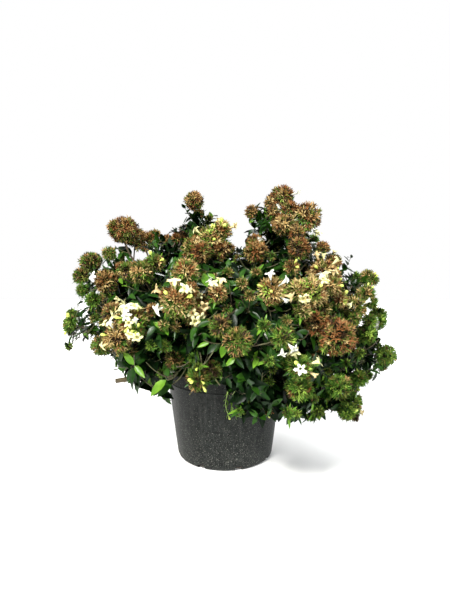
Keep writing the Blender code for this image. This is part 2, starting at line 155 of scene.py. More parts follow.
def makeFinish(name, light, dark, patch, grain, rough, bump, deep=0.001, specular=None):
    material = bpy.data.materials.new(name)
    material.use_nodes = True
    tree = material.node_tree
    shader = tree.nodes["Principled BSDF"]
    place = addNode(tree, "ShaderNodeTexCoord").outputs["Object"]
    patches = noiseAt(tree, place, patch, finishing["patchDetail"])
    tones = addNode(tree, "ShaderNodeValToRGB", {"Fac": patches})
    for stop, at, colour in zip(tones.color_ramp.elements, finishing["tonesApart"], (dark, light)):
        stop.position = at
        stop.color = (*colour, 1.0)
    grains = noiseAt(tree, place, grain, finishing["grainDetail"])
    relief = addNode(tree, "ShaderNodeBump", {"Strength": bump, "Distance": deep, "Height": grains})
    feed(tree, shader.inputs["Base Color"], tones.outputs["Color"])
    feed(tree, shader.inputs["Roughness"], mapRange(tree, grains, (0.0, 1.0), rough))
    feed(tree, shader.inputs["Normal"], relief.outputs["Normal"])
    if specular is not None:
        shader.inputs["Specular IOR Level"].default_value = specular
    return material


# Floor, lights and camera

studio = {
    "cameraAt": (0.0, -1.06, 0.494),
    "cameraTilt": 10.1,          # degrees below level
    "lens": 33.84,
    "sensor": 36.0,
    "floorSize": 3.4,
    "floorShade": 0.97,          # of its light tone, in the darker patches
    "floorFinish": {
        "light": (0.95, 0.95, 0.94), "patch": 3.0, "grain": 40.0, "rough": (0.7, 0.8), "bump": 0.02,
    },
    "skyColour": (1.0, 1.0, 1.0, 1.0),
    "zenithColour": (0.86, 0.87, 0.90, 1.0),
    "skyBand": (0.35, 0.80),     # where white gives way to the zenith's colour, as sines
    "skyLight": 0.45,            # how much light the sky gives, and how bright it looks
    "backdrop": 1.0,
    # name, place, aimed at, width, watts, colour
    "lamps": (
        ("key", (-1.1, -1.9, 2.3), (0.0, 0.0, 0.30), 0.6, 192.0, (1.0, 0.98, 0.94)),
        ("fill", (1.9, -1.5, 1.1), (0.0, 0.0, 0.25), 1.2, 45.0, (0.95, 0.98, 1.0)),
        ("back", (0.5, 2.2, 1.9), (0.0, 0.0, 0.30), 1.2, 95.0, (1.0, 1.0, 1.0)),
    ),
}


def paintSky(tree):
    # white round the horizon, and softer overhead
    seen = addNode(tree, "ShaderNodeLightPath").outputs["Is Camera Ray"]
    way = addNode(tree, "ShaderNodeTexCoord").outputs["Generated"]
    height = addNode(tree, "ShaderNodeSeparateXYZ", {"Vector": way}).outputs["Z"]
    share = mapRange(tree, height, studio["skyBand"], (0.0, 1.0))
    sky = tree.nodes["Background"]
    feed(tree, sky.inputs["Color"], mixColours(tree, share, studio["skyColour"], studio["zenithColour"]))
    strength = mapRange(tree, seen, (0.0, 1.0), (studio["skyLight"], studio["backdrop"]))
    feed(tree, sky.inputs["Strength"], strength)


def newMesh(name, points, edges=(), faces=()):
    mesh = bpy.data.meshes.new(name)
    mesh.from_pydata(points, edges, faces)
    return mesh


def show(name, data):
    obj = bpy.data.objects.new(name, data)
    bpy.context.scene.collection.objects.link(obj)
    return obj


def buildStudio():
    scene = bpy.context.scene
    scene.view_settings.view_transform = "Standard"
    scene.world = bpy.data.worlds.new("studio")
    scene.world.use_nodes = True
    paintSky(scene.world.node_tree)
    for name, place, target, width, watts, colour in studio["lamps"]:
        lamp = bpy.data.lights.new(name, "AREA")
        lamp.size = width
        lamp.energy = watts
        lamp.color = colour
        obj = show(name, lamp)
        obj.location = place
        obj.rotation_euler = (Vector(target) - Vector(place)).to_track_quat("-Z", "Y").to_euler()
    lens = bpy.data.cameras.new("camera")
    lens.lens = studio["lens"]
    lens.sensor_width = studio["sensor"]
    scene.camera = show("camera", lens)
    scene.camera.location = studio["cameraAt"]
    scene.camera.rotation_euler = (math.radians(90.0 - studio["cameraTilt"]), 0.0, 0.0)
    half = studio["floorSize"] / 2
    corners = [(-half, -half, 0.0), (half, -half, 0.0), (half, half, 0.0), (-half, half, 0.0)]
    floor = show("floor", newMesh("floor", corners, faces=[(0, 1, 2, 3)]))
    light = studio["floorFinish"]["light"]
    shade = tuple(part * studio["floorShade"] for part in light)
    floor.data.materials.append(makeFinish("paleFloor", dark=shade, **studio["floorFinish"]))


# The growth rule: limbs, twigs and the room that each mass may fill

growth = {
    "heart": Vector((0.0, 0.0, 0.200)),
    "crownBall": 0.032,
    "gap": 0.0003,
    "leaving": (28.0, 0.65),     # a limb's rise where it starts, and more of it with the mass's
    "arriving": (5.0, 1.6),      # and where it ends, up to the steepest
    "steepest": 85.0,
    "pulls": (0.42, 0.33),       # how far the curve holds those ways, as shares of its span
    "curveSteps": 48,
    "caneShare": 0.36,
    "caneRadius": (0.0032, 0.0024),
    "canePoints": 12,
    "claimPoints": 5,
    "stemPoints": 18,
    "coarsePoints": (4, 6),      # of a stem on a cane, and of one from the woody crown
    "twigs": 5,
    "firstTwig": 0.88,           # where on the stem, as a share of it
    "twigStep": 0.19,
    "twigAhead": 0.02,
    "twigAngle": 52.0,
    "twigLength": 0.070,
    "twigShrinks": (1.0, 0.85, 0.7, 0.55, 0.42),
    "twigLift": 0.45,
    "headStretch": 0.3,          # of a head's radius, added to its twig
    "goldenAngle": 137.5,
    "sideHead": 0.80,
    "clear": 0.0013,
    "overreach": 0.020,
    "droop": 0.028,
}
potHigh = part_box("pot")[1]
soilLow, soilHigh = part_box("potting_mix")
crownLow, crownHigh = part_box("woody_crown")
crownCentre = Vector((0.0, 0.0, crownHigh.z - growth["crownBall"]))
noFlowers = (0, 0, 0, 0)

# name, bearing, rise, reach from the heart, end head's radius, side heads, turn of the first
# twig, 1 on a bare cane or 0 leafy from the woody crown, colours, flowers where it has any
masses = (
    ("top_right", 16, 69, 0.319, 0.025, 2, 125, 1, "rust", (1, 0, 0, 0)),
    ("gold_right", 342, 60, 0.303, 0.029, 2, 220, 1, "tan"),
    ("top_left", 128, 71, 0.308, 0.021, 1, 325, 1, "brown"),
    ("big_left", 246, 74, 0.228, 0.031, 2, 330, 1, "mixed", (0, 1, 1, 4)),
    ("upper_left", 180, 51, 0.305, 0.027, 2, 300, 1, "brown"),
    ("left", 172, 33, 0.317, 0.023, 2, 100, 1, "dusk"),
    ("left_front", 223, 43, 0.258, 0.023, 2, 320, 1, "olive"),
    ("left_low", 183, 12, 0.300, 0.017, 2, 140, 1, "green"),
    ("left_low_front", 224, 17, 0.252, 0.027, 2, 280, 1, "tan", (1, 2, 0, 2)),
    ("front_left", 252, 31, 0.275, 0.028, 2, 225, 1, "mixed", (1, 2, 3, 3)),
    ("front_mid", 274, 19, 0.285, 0.024, 1, 55, 0, "dusk"),
    ("front_low", 258, 4, 0.205, 0.022, 2, 295, 0, "dusk", (0, 0, 0, 4)),
    ("front_right_up", 290, 36, 0.262, 0.025, 2, 125, 1, "gold", (3, 0, 1, 2)),
    ("top_front", 300, 63, 0.232, 0.022, 1, 330, 1, "brown", (1, 0, 0, 0)),
    ("right_up", 331, 41, 0.255, 0.029, 2, 115, 1, "tan", (0, 2, 1, 2)),
    ("right_shoulder", 11, 26, 0.322, 0.018, 2, 105, 1, "olive"),
    ("right_front", 314, 17, 0.268, 0.033, 2, 250, 1, "rust"),
    ("right_tip", 354, 1, 0.306, 0.022, 2, 200, 1, "green"),
    ("right_low_front", 297, 2, 0.252, 0.024, 2, 210, 1, "fresh"),
    ("right_low", 333, -13, 0.256, 0.022, 2, 125, 1, "green", (0, 0, 1, 0)),
    ("bottom_left", 206, -8, 0.205, 0.000, 0, 300, 0, "green"),
    ("back_top", 88, 42, 0.250, 0.024, 2, 0, 1, "tan", (1, 0, 0, 0)),
    ("back_left_up", 143, 44, 0.298, 0.024, 2, 60, 1, "brown", (1, 0, 0, 0)),
    ("back_right_up", 42, 43, 0.296, 0.024, 2, 160, 1, "rust", (1, 1, 0, 0)),
    ("back_left", 152, 16, 0.300, 0.023, 2, 90, 1, "olive", (1, 1, 0, 2)),
    ("back_right", 30, 9, 0.298, 0.023, 2, 30, 1, "green"),
    ("back_mid", 98, 17, 0.285, 0.024, 2, 140, 0, "mixed", (2, 1, 0, 2)),
    ("back_mid_right", 64, 19, 0.290, 0.023, 2, 110, 1, "tan", (1, 0, 1, 0)),
    ("back_low", 122, -6, 0.250, 0.022, 2, 20, 0, "fresh", (0, 0, 0, 2)),
)


def curveAt(knots, share):
    a, b, c, d = knots
    s, t = 1.0 - share, share
    return a * s**3 + b * 3 * s * s * t + c * 3 * s * t * t + d * t**3


def limbLine(bearing, rise, reach):
    level, share = growth["leaving"]
    out = direction(bearing, level + share * rise)
    root = crownCentre + out * (growth["crownBall"] + growth["gap"])
    tip = growth["heart"] + direction(bearing, rise) * reach
    level, share = growth["arriving"]
    end = direction(bearing, min(growth["steepest"], share * rise + level))
    span = (tip - root).length
    near, far = growth["pulls"]
    knots = (root, root + out * span * near, tip - end * span * far, tip)
    steps = growth["curveSteps"]
    return [curveAt(knots, i / steps) for i in range(steps + 1)]


def lineLength(line):
    return sum((b - a).length for a, b in zip(line, line[1:]))


def partOf(line, low, high, count):
    # points spaced evenly between two shares of the line's length
    steps = [(b - a).length for a, b in zip(line, line[1:])]
    marks = [sum(steps[:i]) for i in range(len(line))]
    points = []
    for i in range(count):
        want = marks[-1] * (low + (high - low) * i / (count - 1))
        k = max(j for j in range(len(steps)) if marks[j] <= want + tiny)
        points.append(line[k].lerp(line[k + 1], (want - marks[k]) / steps[k]))
    return points


def wayAt(line, low, high):
    # the point at the first share of the line, the one at the second, and the way between
    base, ahead = partOf(line, low, high, 2)
    return base, ahead, (ahead - base).normalized()


def across(along, turn):
    side = along.cross(up)
    if side.length < upright:
        side = Vector((0.0, 1.0, 0.0))
    side.normalize()
    t = math.radians(turn)
    return side.cross(along).normalized() * math.cos(t) + side * math.sin(t)


def leaning(along, out, angle):
    a = math.radians(angle)
    return along * math.cos(a) + out * math.sin(a)


def twigLine(base, along, turn, angle, length):
    out = leaning(along, across(along, turn), angle)
    lift = (out + up * growth["twigLift"]).normalized()
    middle = base + out * length * 0.5
    return [base, middle, middle + lift * length * 0.5]


def smoothLine(line, count):
    # a smooth curve through the start, middle and end of a twig
    base, middle, tip = line
    pull = middle * 2 - (base + tip) * 0.5
    points = []
    for i in range(count):
        t = i / (count - 1)
        points.append(base * (1 - t) ** 2 + pull * 2 * t * (1 - t) + tip * t * t)
    return points


def ballSamples(centre, radius):
    if not radius:
        return [centre]
    points = []
    for rise, count in ((-90, 1), (-45, 8), (0, 8), (45, 8), (90, 1)):
        points += [centre + direction(360.0 * k / count, rise) * radius for k in range(count)]
    return points


class Bars:
    # round bars, as (start, end, radius), that points are measured from

    def __init__(self, rows):
        starts, ends, self.radii = (np.array(column) for column in zip(*rows))
        self.starts = starts
        self.spans = ends - starts
        self.squares = np.maximum((self.spans**2).sum(1), tiny)

    def gaps(self, points):
        offsets = np.array(points)[:, None] - self.starts
        shares = np.clip((offsets * self.spans).sum(2) / self.squares, 0.0, 1.0)
        return np.linalg.norm(offsets - shares[..., None] * self.spans, axis=2) - self.radii


class Room:
    # keeps each mass nearer to its own limbs than to another's, and off the canes and the pot

    def __init__(self):
        self.owners = []
        self.rows = []

    def claim(self, owner, line, radius):
        for start, end in zip(line, line[1:] or line):
            self.owners.append(owner)
            self.rows.append((start, end, radius))

    def settle(self):
        self.owners = np.array(self.owners)
        self.bars = Bars(self.rows)

    def holds(self, mine, points):
        if not withinReach(masses[mine], np.array(points)):
            return False
        far = self.bars.gaps(points)
        if (far[:, self.owners == -1] < growth["clear"]).any():
            return False
        own = far[:, self.owners == mine].min(1)
        others = (self.owners != mine) & (self.owners != -1)
        return bool((far[:, others].min(1) > own + 2 * growth["clear"]).all())


def withinReach(row, points):
    _, bearing, rise, reach = row[:4]
    heart = growth["heart"]
    if (np.linalg.norm(points - np.array(heart), axis=1) > reach + growth["overreach"]).any():
        return False
    tip = heart + direction(bearing, rise) * reach
    if points[:, 2].min() < min(tip.z, potHigh.z) - growth["droop"]:
        return False
    margin = 2 * growth["clear"]
    nearRim = np.hypot(points[:, 0], points[:, 1]) < potHigh.x + margin
    return not (nearRim & (points[:, 2] < potHigh.z + margin)).any()


def growTwigs(index, stem, room):
    head, sideHeads, turn = masses[index][4:7]
    twigs = []
    for i in range(growth["twigs"]):
        share = growth["firstTwig"] - growth["twigStep"] * i
        base, _, along = wayAt(stem, share, share + growth["twigAhead"])
        radius = head * growth["sideHead"] if i < sideHeads else 0.0
        for shrink in growth["twigShrinks"]:
            length = growth["twigLength"] * shrink + radius * growth["headStretch"]
            turned = turn + growth["goldenAngle"] * i
            line = twigLine(base, along, turned, growth["twigAngle"], length)
            if room.holds(index, ballSamples(line[-1], radius) + line[1:]):
                twigs.append((line, radius))
                break
    return twigs


def growLimbs():
    # canes, stems, and each stem's twigs with the radius of the head that they end in
    lines = [limbLine(*row[1:4]) for row in masses]
    room = Room()
    canes, coarseStems, fineStems = [], [], []
    few, more = growth["coarsePoints"]
    for row, line in zip(masses, lines):
        share = growth["caneShare"] * row[7]
        start = share + growth["gap"] / lineLength(line) if share else 0.0
        coarseStems.append(partOf(line, start, 1.0, few if share else more))
        fineStems.append(partOf(line, share, 1.0, growth["stemPoints"]))
        if share:
            canes.append(partOf(line, 0.0, share, growth["canePoints"]))
            room.claim(-1, partOf(line, 0.0, share, growth["claimPoints"]), growth["caneRadius"][0])
    for index, row in enumerate(masses):
        room.claim(index, coarseStems[index], 0.0)
        if row[4]:
            room.claim(index, coarseStems[index][-1:], row[4])
    room.settle()
    twigs = [growTwigs(i, coarseStems[i], room) for i in range(len(masses))]
    return canes, fineStems, twigs


# Heads that the limbs don't end in: on spurs from the nearest stem or twig
# bearing, rise, reach from the heart, radius, colours, and (white, cream, gold, buds) where it
# has flowers
spurHeads = (
    (168, 67, 0.241, 0.013, "brown"),
    (127, 72, 0.280, 0.012, "brown"),
    (245, 48, 0.245, 0.019, "dusk"),
    (193, 34, 0.266, 0.024, "tan", (1, 0, 0, 0)),
    (198, 42, 0.263, 0.012, "rust"),
    (207, 25, 0.243, 0.019, "tan", (0, 1, 0, 0)),
    (231, 24, 0.255, 0.026, "gold", (2, 7, 0, 6)),
    (256, 36, 0.268, 0.015, "brown"),
    (267, 35, 0.268, 0.017, "tan", (1, 1, 1, 0)),
    (239, 29, 0.253, 0.013, "tan"),
    (245, 17, 0.231, 0.013, "green"),
    (330, 64, 0.277, 0.021, "tan", (1, 0, 0, 0)),
    (338, 79, 0.277, 0.015, "brown"),
    (0, 74, 0.299, 0.013, "tan"),
    (322, 53, 0.267, 0.022, "umber"),
    (309, 34, 0.262, 0.029, "gold", (1, 4, 1, 2)),
    (301, 28, 0.263, 0.016, "olive"),
    (341, 23, 0.262, 0.025, "olive", (1, 0, 0, 0)),
    (4, 13, 0.308, 0.020, "green"),
    (347, 11, 0.271, 0.020, "green"),
    (287, 19, 0.297, 0.019, "green", (3, 0, 0, 0)),
    (294, 10, 0.278, 0.021, "fresh", (1, 2, 1, 1)),
    (318, -2, 0.252, 0.023, "green"),
    (300, -11, 0.235, 0.010, "green"),
    (288, -9, 0.228, 0.008, "rust"),
    (200, 9, 0.238, 0.021, "dusk"),
    (341, 49, 0.279, 0.014, "brown"),
    (259, 10, 0.222, 0.009, "green", (0, 0, 0, 1)),
    (183, 50, 0.318, 0.016, "brown"),
    (180, 53, 0.286, 0.017, "brown"),
    (168, 56, 0.266, 0.013, "brown"),
    (157, 60, 0.250, 0.013, "rust"),
    (193, 27, 0.295, 0.014, "green"),
    (199, 26, 0.274, 0.016, "green"),
    (184, 16, 0.302, 0.011, "green"),
    (264, 76, 0.247, 0.021, "mixed", (0, 0, 2, 4)),
    (265, 71, 0.218, 0.019, "rust"),
    (246, 64, 0.228, 0.021, "rust"),
    (353, 25, 0.290, 0.019, "olive", (0, 0, 0, 2)),
    (354, 21, 0.293, 0.015, "green"),
    (337, -4, 0.259, 0.018, "green"),
    (4, -5, 0.315, 0.016, "green"),
    (341, -20, 0.262, 0.016, "green"),
    (196, 43, 0.293, 0.015, "olive"),
    (314, -14, 0.231, 0.014, "green"),
    (305, -14, 0.214, 0.009, "green"),
    (341, 66, 0.303, 0.018, "rust"),
    (331, 59, 0.276, 0.016, "tan"),
    (335, 71, 0.288, 0.014, "rust", (1, 0, 0, 0)),
    (326, 35, 0.263, 0.020, "gold", (0, 1, 1, 2)),
    (308, 46, 0.256, 0.015, "tan", (0, 0, 0, 2)),
    (331, 29, 0.256, 0.017, "gold", (0, 1, 0, 2)),
    (315, 28, 0.258, 0.015, "olive"),
    (346, 42, 0.273, 0.016, "brown"),
    (256, 30, 0.240, 0.023, "gold", (0, 4, 3, 4)),
    (250, 35, 0.245, 0.015, "gold", (0, 1, 1, 1)),
    (260, 35, 0.238, 0.014, "tan", (0, 1, 1, 0)),
    (347, 16, 0.280, 0.016, "green", (1, 0, 0, 0)),
    (336, 20, 0.262, 0.014, "olive"),
    (236, 21, 0.262, 0.014, "fresh", (1, 2, 0, 4)),
    (166, 70, 0.240, 0.012, "dark"),
    (354, 49, 0.274, 0.013, "dark"),
    (180, 8, 0.299, 0.008, "dark"),
    (337, -20, 0.270, 0.008, "dark"),
)

# small heads on the shoots are greener than the old ones beside them
youngColours = {
    "rust": "tan", "tan": "olive", "brown": "dusk", "mixed": "olive",
    "dusk": "green", "olive": "fresh", "gold": "olive", "green": "green", "fresh": "green",
}

# spurs without a head, where leaves hang over the rim: bearing, rise, reach from the heart
leafySpurs = (
    (268, 3, 0.225), (276, -4, 0.205), (283, 5, 0.235), (289, -6, 0.210), (252, -6, 0.190),
    (243, 3, 0.205), (230, -3, 0.200), (214, 3, 0.215), (196, -4, 0.215), (305, -8, 0.215),
    (318, 6, 0.235), (180, 0, 0.225), (168, -5, 0.215), (10, -8, 0.240), (345, -6, 0.245),
    (330, 76, 0.243), (297, 69, 0.218), (297, 54, 0.231), (328, 67, 0.242), (279, 48, 0.229),
    (274, 35, 0.245), (281, 30, 0.247), (267, 56, 0.217), (318, 53, 0.249), (230, 47, 0.231),
    (238, 35, 0.245), (195, 26, 0.261), (194, 18, 0.262), (216, 18, 0.232), (240, 22, 0.238),
    (234, 10, 0.213), (249, 9, 0.216), (255, 22, 0.244), (265, 26, 0.257), (266, 17, 0.241),
    (279, 14, 0.250), (284, 8, 0.240), (303, 21, 0.256), (330, 9, 0.241), (316, -8, 0.233),
    (324, 4, 0.240), (356, -6, 0.279), (209, 80, 0.246), (163, 75, 0.253), (197, 62, 0.226),
    (208, 68, 0.228), (264, 43, 0.235), (336, 57, 0.266), (323, 30, 0.253), (345, 31, 0.275),
    (285, 1, 0.227), (278, 6, 0.223), (260, 16, 0.232), (217, 33, 0.234), (208, 8, 0.216),
    (289, 29, 0.266), (295, 26, 0.259), (341, 9, 0.248), (311, -22, 0.172), (312, -14, 0.195),
    (332, -15, 0.220), (340, -15, 0.240), (314, -10, 0.213), (293, -11, 0.188), (288, -14, 0.184),
    (296, -7, 0.203), (283, -9, 0.187), (336, -21, 0.212), (0, 82, 0.190), (60, 74, 0.200),
    (120, 74, 0.195), (180, 78, 0.190), (240, 80, 0.180), (25, 62, 0.225), (90, 60, 0.220),
    (150, 62, 0.220), (70, -4, 0.200), (90, -8, 0.195), (110, -3, 0.205), (130, 2, 0.215),
    (145, -8, 0.205), (160, -2, 0.215), (50, -6, 0.205), (30, -10, 0.215), (80, 6, 0.220),
    (100, 8, 0.225), (120, 12, 0.225), (60, 10, 0.230), (40, 22, 0.240), (140, 24, 0.240),
    (75, 30, 0.225), (110, 32, 0.225), (95, 22, 0.235), (20, 30, 0.255), (165, 35, 0.240),
    (349, 7, 0.255), (354, 3, 0.275), (349, 0, 0.265), (341, 1, 0.250), (330, 2, 0.241),
    (356, 6, 0.281), (331, 8, 0.248), (4, -1, 0.295), (349, -5, 0.260), (329, -11, 0.238),
    (327, -15, 0.231), (309, -19, 0.190), (310, -14, 0.201), (276, 33, 0.255), (280, 30, 0.250),
    (272, 33, 0.255), (266, 28, 0.244), (259, 23, 0.221), (277, 10, 0.205), (283, 8, 0.207),
    (284, 16, 0.232),
)

# single large leaves low in the crown, on leafy twigs of their own
# bearing, rise and reach of the leaf's foot, bearing and rise that it points to, length, shade
largeLeaves = (
    (243, 2, 0.208, 202, -32, 0.036, "leavesBright"),
    (244, -1, 0.198, 185, -31, 0.033, "leavesMid"),
    (283, -1, 0.200, 352, 0, 0.040, "leavesBright"),
    (219, 0, 0.189, 221, -65, 0.042, "leavesDeep"),
    (215, 1, 0.191, 221, -63, 0.038, "leavesDeep"),
    (277, 2, 0.201, 0, -30, 0.034, "leavesMid"),
)

# thin green shoots that hang in front of the pot, as points from the crown to the tip
trailers = (
    ((0.004, -0.150, 0.188), (0.003, -0.130, 0.160), (0.001, -0.127, 0.142), (0.006, -0.121, 0.121)),
    ((0.016, -0.150, 0.186), (0.012, -0.131, 0.158), (0.012, -0.128, 0.136), (0.020, -0.126, 0.122),
     (0.029, -0.127, 0.127), (0.032, -0.128, 0.144)),
    ((0.040, -0.152, 0.182), (0.052, -0.138, 0.156), (0.064, -0.133, 0.140), (0.073, -0.130, 0.127)),
)

# gaps of open sky between the boughs: from the front, to the back, and how wide
partings = (
    ((0.020, -0.14, 0.430), (0.025, 0.18, 0.405), 0.013),
    ((0.020, -0.14, 0.455), (0.025, 0.18, 0.440), 0.017),
    ((0.025, -0.14, 0.485), (0.030, 0.18, 0.480), 0.022),
    ((0.050, -0.14, 0.500), (0.065, 0.18, 0.500), 0.014),
    ((-0.015, -0.14, 0.495), (-0.020, 0.18, 0.495), 0.020),
    ((-0.150, -0.14, 0.410), (-0.205, 0.18, 0.385), 0.015),
    ((-0.130, -0.14, 0.405), (-0.175, 0.18, 0.370), 0.013),
    ((-0.085, -0.14, 0.470), (-0.110, 0.18, 0.460), 0.020),
    ((0.155, -0.14, 0.450), (0.210, 0.18, 0.435), 0.022),
    ((0.225, -0.14, 0.395), (0.300, 0.18, 0.360), 0.019),
    ((-0.290, -0.14, 0.275), (-0.390, 0.18, 0.200), 0.017),
    ((-0.240, -0.14, 0.245), (-0.320, 0.18, 0.160), 0.017),
    ((-0.210, -0.14, 0.215), (-0.285, 0.18, 0.120), 0.025),
    ((-0.185, -0.14, 0.175), (-0.245, 0.18, 0.065), 0.026),
    ((-0.145, -0.14, 0.155), (-0.190, 0.18, 0.035), 0.020),
    ((0.285, -0.14, 0.185), (0.380, 0.18, 0.075), 0.025),
    ((0.275, -0.14, 0.260), (0.370, 0.18, 0.180), 0.013),
    ((0.255, -0.14, 0.160), (0.345, 0.18, 0.040), 0.020),
    ((0.190, -0.14, 0.115), (0.255, 0.18, -0.015), 0.012),
    ((0.082, -0.27, 0.158), (0.128, 0.18, -0.033), 0.010),
    ((0.108, -0.27, 0.157), (0.168, 0.18, -0.034), 0.010),
    ((0.133, -0.27, 0.157), (0.208, 0.18, -0.034), 0.010),
    ((-0.092, -0.27, 0.199), (-0.144, 0.18, 0.032), 0.010),
    ((-0.124, -0.27, 0.195), (-0.195, 0.18, 0.024), 0.010),
    ((-0.108, -0.27, 0.197), (-0.168, 0.18, 0.026), 0.012),
    ((-0.087, -0.27, 0.461), (-0.136, 0.18, 0.441), 0.016),
    ((-0.156, -0.27, 0.247), (-0.245, 0.18, 0.106), 0.007),
    ((-0.157, -0.27, 0.226), (-0.247, 0.18, 0.073), 0.007),
    # and onto the pot's rim
    ((-0.066, -0.27, 0.238), (-0.080, -0.11, 0.186), 0.010),
    ((-0.066, -0.27, 0.219), (-0.080, -0.11, 0.164), 0.011),
    ((-0.052, -0.27, 0.235), (-0.062, -0.11, 0.182), 0.008),
    ((-0.052, -0.27, 0.216), (-0.062, -0.11, 0.160), 0.011),
    ((-0.036, -0.27, 0.219), (-0.043, -0.11, 0.164), 0.010),
    ((-0.020, -0.27, 0.218), (-0.024, -0.11, 0.162), 0.010),
    ((-0.002, -0.27, 0.216), (-0.002, -0.11, 0.160), 0.009),
    ((-0.065, -0.27, 0.201), (-0.078, -0.11, 0.142), 0.010),
    ((-0.049, -0.27, 0.198), (-0.059, -0.11, 0.138), 0.011),
    ((-0.034, -0.27, 0.198), (-0.041, -0.11, 0.138), 0.011),
    ((-0.018, -0.27, 0.198), (-0.022, -0.11, 0.138), 0.011),
)


class Openings:
    # bars that no leaf or shoot may end in

    def __init__(self, rows):
        self.rows = list(rows)
        self.bars = Bars(self.rows)

    def before(self, heads):
        # leaves don't overtop the large heads that face the front
        eye = Vector(studio["cameraAt"])
        for centre, radius, *_ in heads:
            if radius < twiggery["clearFrom"] or centre.y > twiggery["frontEnds"]:
                continue
            far = centre + (eye - centre).normalized() * twiggery["clearReach"]
            self.rows.append((tuple(centre), tuple(far), radius * twiggery["clearShare"]))
        self.bars = Bars(self.rows)

    def meet(self, points):
        return bool((self.bars.gaps(points) < 0.0).any())


openings = Openings(partings)

twiggery = {
    "seed": 11,
    "clearFrom": 0.0115,         # radius of the least head that is kept clear of leaves in front
    "clearReach": 0.075,
    "clearShare": 0.80,
    "frontEnds": 0.04,
    "stemRadius": (0.0027, 0.0016),
    "twigRadius": (0.0014, 0.0010),
    "twigPoints": 8,
    "basePart": (0.1, 0.9, 9),   # where a spur may leave a limb, and in how many places
    "spurReach": 0.02,           # how much nearer to the heart a spur starts than it ends
    "spurSag": 0.08,
    "spurDrop": 0.004,
    "shootRadius": (0.0009, 0.0006),
    "shootPoints": 6,
    "shootSpacing": 0.0135,
    "spacingSpread": (0.85, 1.15),
    "shootLength": (0.028, 0.052),
    "shootAngle": 50.0,
    "angleSpread": 10.0,
    "tipRoom": 0.010,            # from a spray's tip to its first shoot, and more with its head
    "headRoom": 1.15,
    "footRoom": 0.008,
    "behind": 0.98,
    "tries": 3,                  # turns that a shoot tries before it is left out
    "tryTurn": 60.0,
    "shootHeads": 0.48,          # share of the outer shoots that end in a small head
    "shootHeadRadius": (0.0085, 0.0125),
    "headsApart": 0.85,
    "outerShare": 0.74,          # of a mass's reach
    "sideBuds": (0, 0, 2),
    "noBuds": ("brown", "rust"),
    "stubLength": 0.014,
    "stubRadius": 0.0042,
    "stubFrom": (-6, -3),        # the points of its stem where it starts and bends
    "stubLift": (0.002, 0.004),
    "backHeads": 26,             # more heads where the list above has none
    "backPlaces": 220,
    "backRises": (-0.12, 1.05),  # sine of the lowest rise, and how far it climbs
    "backBearings": (8, 172),
    "backInward": 0.03,
    "backHeadRadius": (0.013, 0.021),
    "backHeadApart": 0.027,
    "backColours": ("rust", "tan", "brown", "olive", "mixed", "green"),
    "backFlowers": ((0, 0, 1, 2), (0, 0, 1), (0, 1)),
}


def nearestBase(centre, sprays):
    # the point of a limb that is nearest to the head, and nearer the heart than it
    heart, best = growth["heart"], None
    reach = (centre - heart).length - twiggery["spurReach"]
    for spray in sprays:
        for point in partOf(spray["line"], *twiggery["basePart"]):
            if (point - heart).length > reach:
                continue
            gap = (point - centre).length
            if best is None or gap < best[0]:
                best = (gap, point, spray)
    return best[1], best[2]


def newSpray(line, radii, head, mass, rank):
    # rank is 0 for a stem, 1 for a twig or spur and 2 for a shoot
    return {"line": line, "radii": twiggery[radii], "head": head, "mass": mass, "rank": rank}


def addSpur(sprays, heads, bearing, rise, reach, radius=0.0, colours="", flowers=noFlowers):
    centre = growth["heart"] + direction(bearing, rise) * reach
    base, parent = nearestBase(centre, sprays)
    outward = (centre - growth["heart"]).normalized()
    middle = base.lerp(centre, 0.5) - outward * twiggery["spurSag"] * (centre - base).length
    line = smoothLine([base, middle - up * twiggery["spurDrop"], centre], twiggery["twigPoints"])
    sprays.append(newSpray(line, "twigRadius", radius, parent["mass"], 1))
    if radius:
        heads.append((centre, radius, colours, flowers))


def moreHeads(heads, chance):
    # evenly spread heads at the back, where nothing else has been put
    rows, count = [], twiggery["backPlaces"]
    lowest, climb = twiggery["backRises"]
    first, last = twiggery["backBearings"]
    for i in range(count):
        rise = math.degrees(math.asin(lowest + climb * (i + 0.5) / count))
        bearing = (i * growth["goldenAngle"]) % 360.0
        if not first < bearing < last:
            continue
        near = sorted(masses, key=lambda row: -direction(*row[1:3]).dot(direction(bearing, rise)))
        reach = sum(row[3] for row in near[:2]) / 2 - chance.uniform(0.0, twiggery["backInward"])
        centre = growth["heart"] + direction(bearing, rise) * reach
        radius = chance.uniform(*twiggery["backHeadRadius"])
        apart = min((centre - head[0]).length - head[1] - radius for head in heads)
        if apart < twiggery["backHeadApart"] or openings.meet([centre]):
            continue
        colours = chance.choice(twiggery["backColours"])
        flowers = (*(chance.choice(counts) for counts in twiggery["backFlowers"]), 0)
        rows.append((bearing, rise, reach, radius, colours, flowers))
        heads.append((centre, radius, colours, flowers))
        if len(rows) == twiggery["backHeads"]:
            break
    del heads[len(heads) - len(rows):]
    return rows


def insideHead(points, heads):
    return any((point - head[0]).length < head[1] for head in heads for point in points)


def headFits(tip, radius, heads):
    share = twiggery["headsApart"]
    clear = all((tip - head[0]).length > (head[1] + radius) * share for head in heads)
    return clear and not openings.meet(ballSamples(tip, radius))


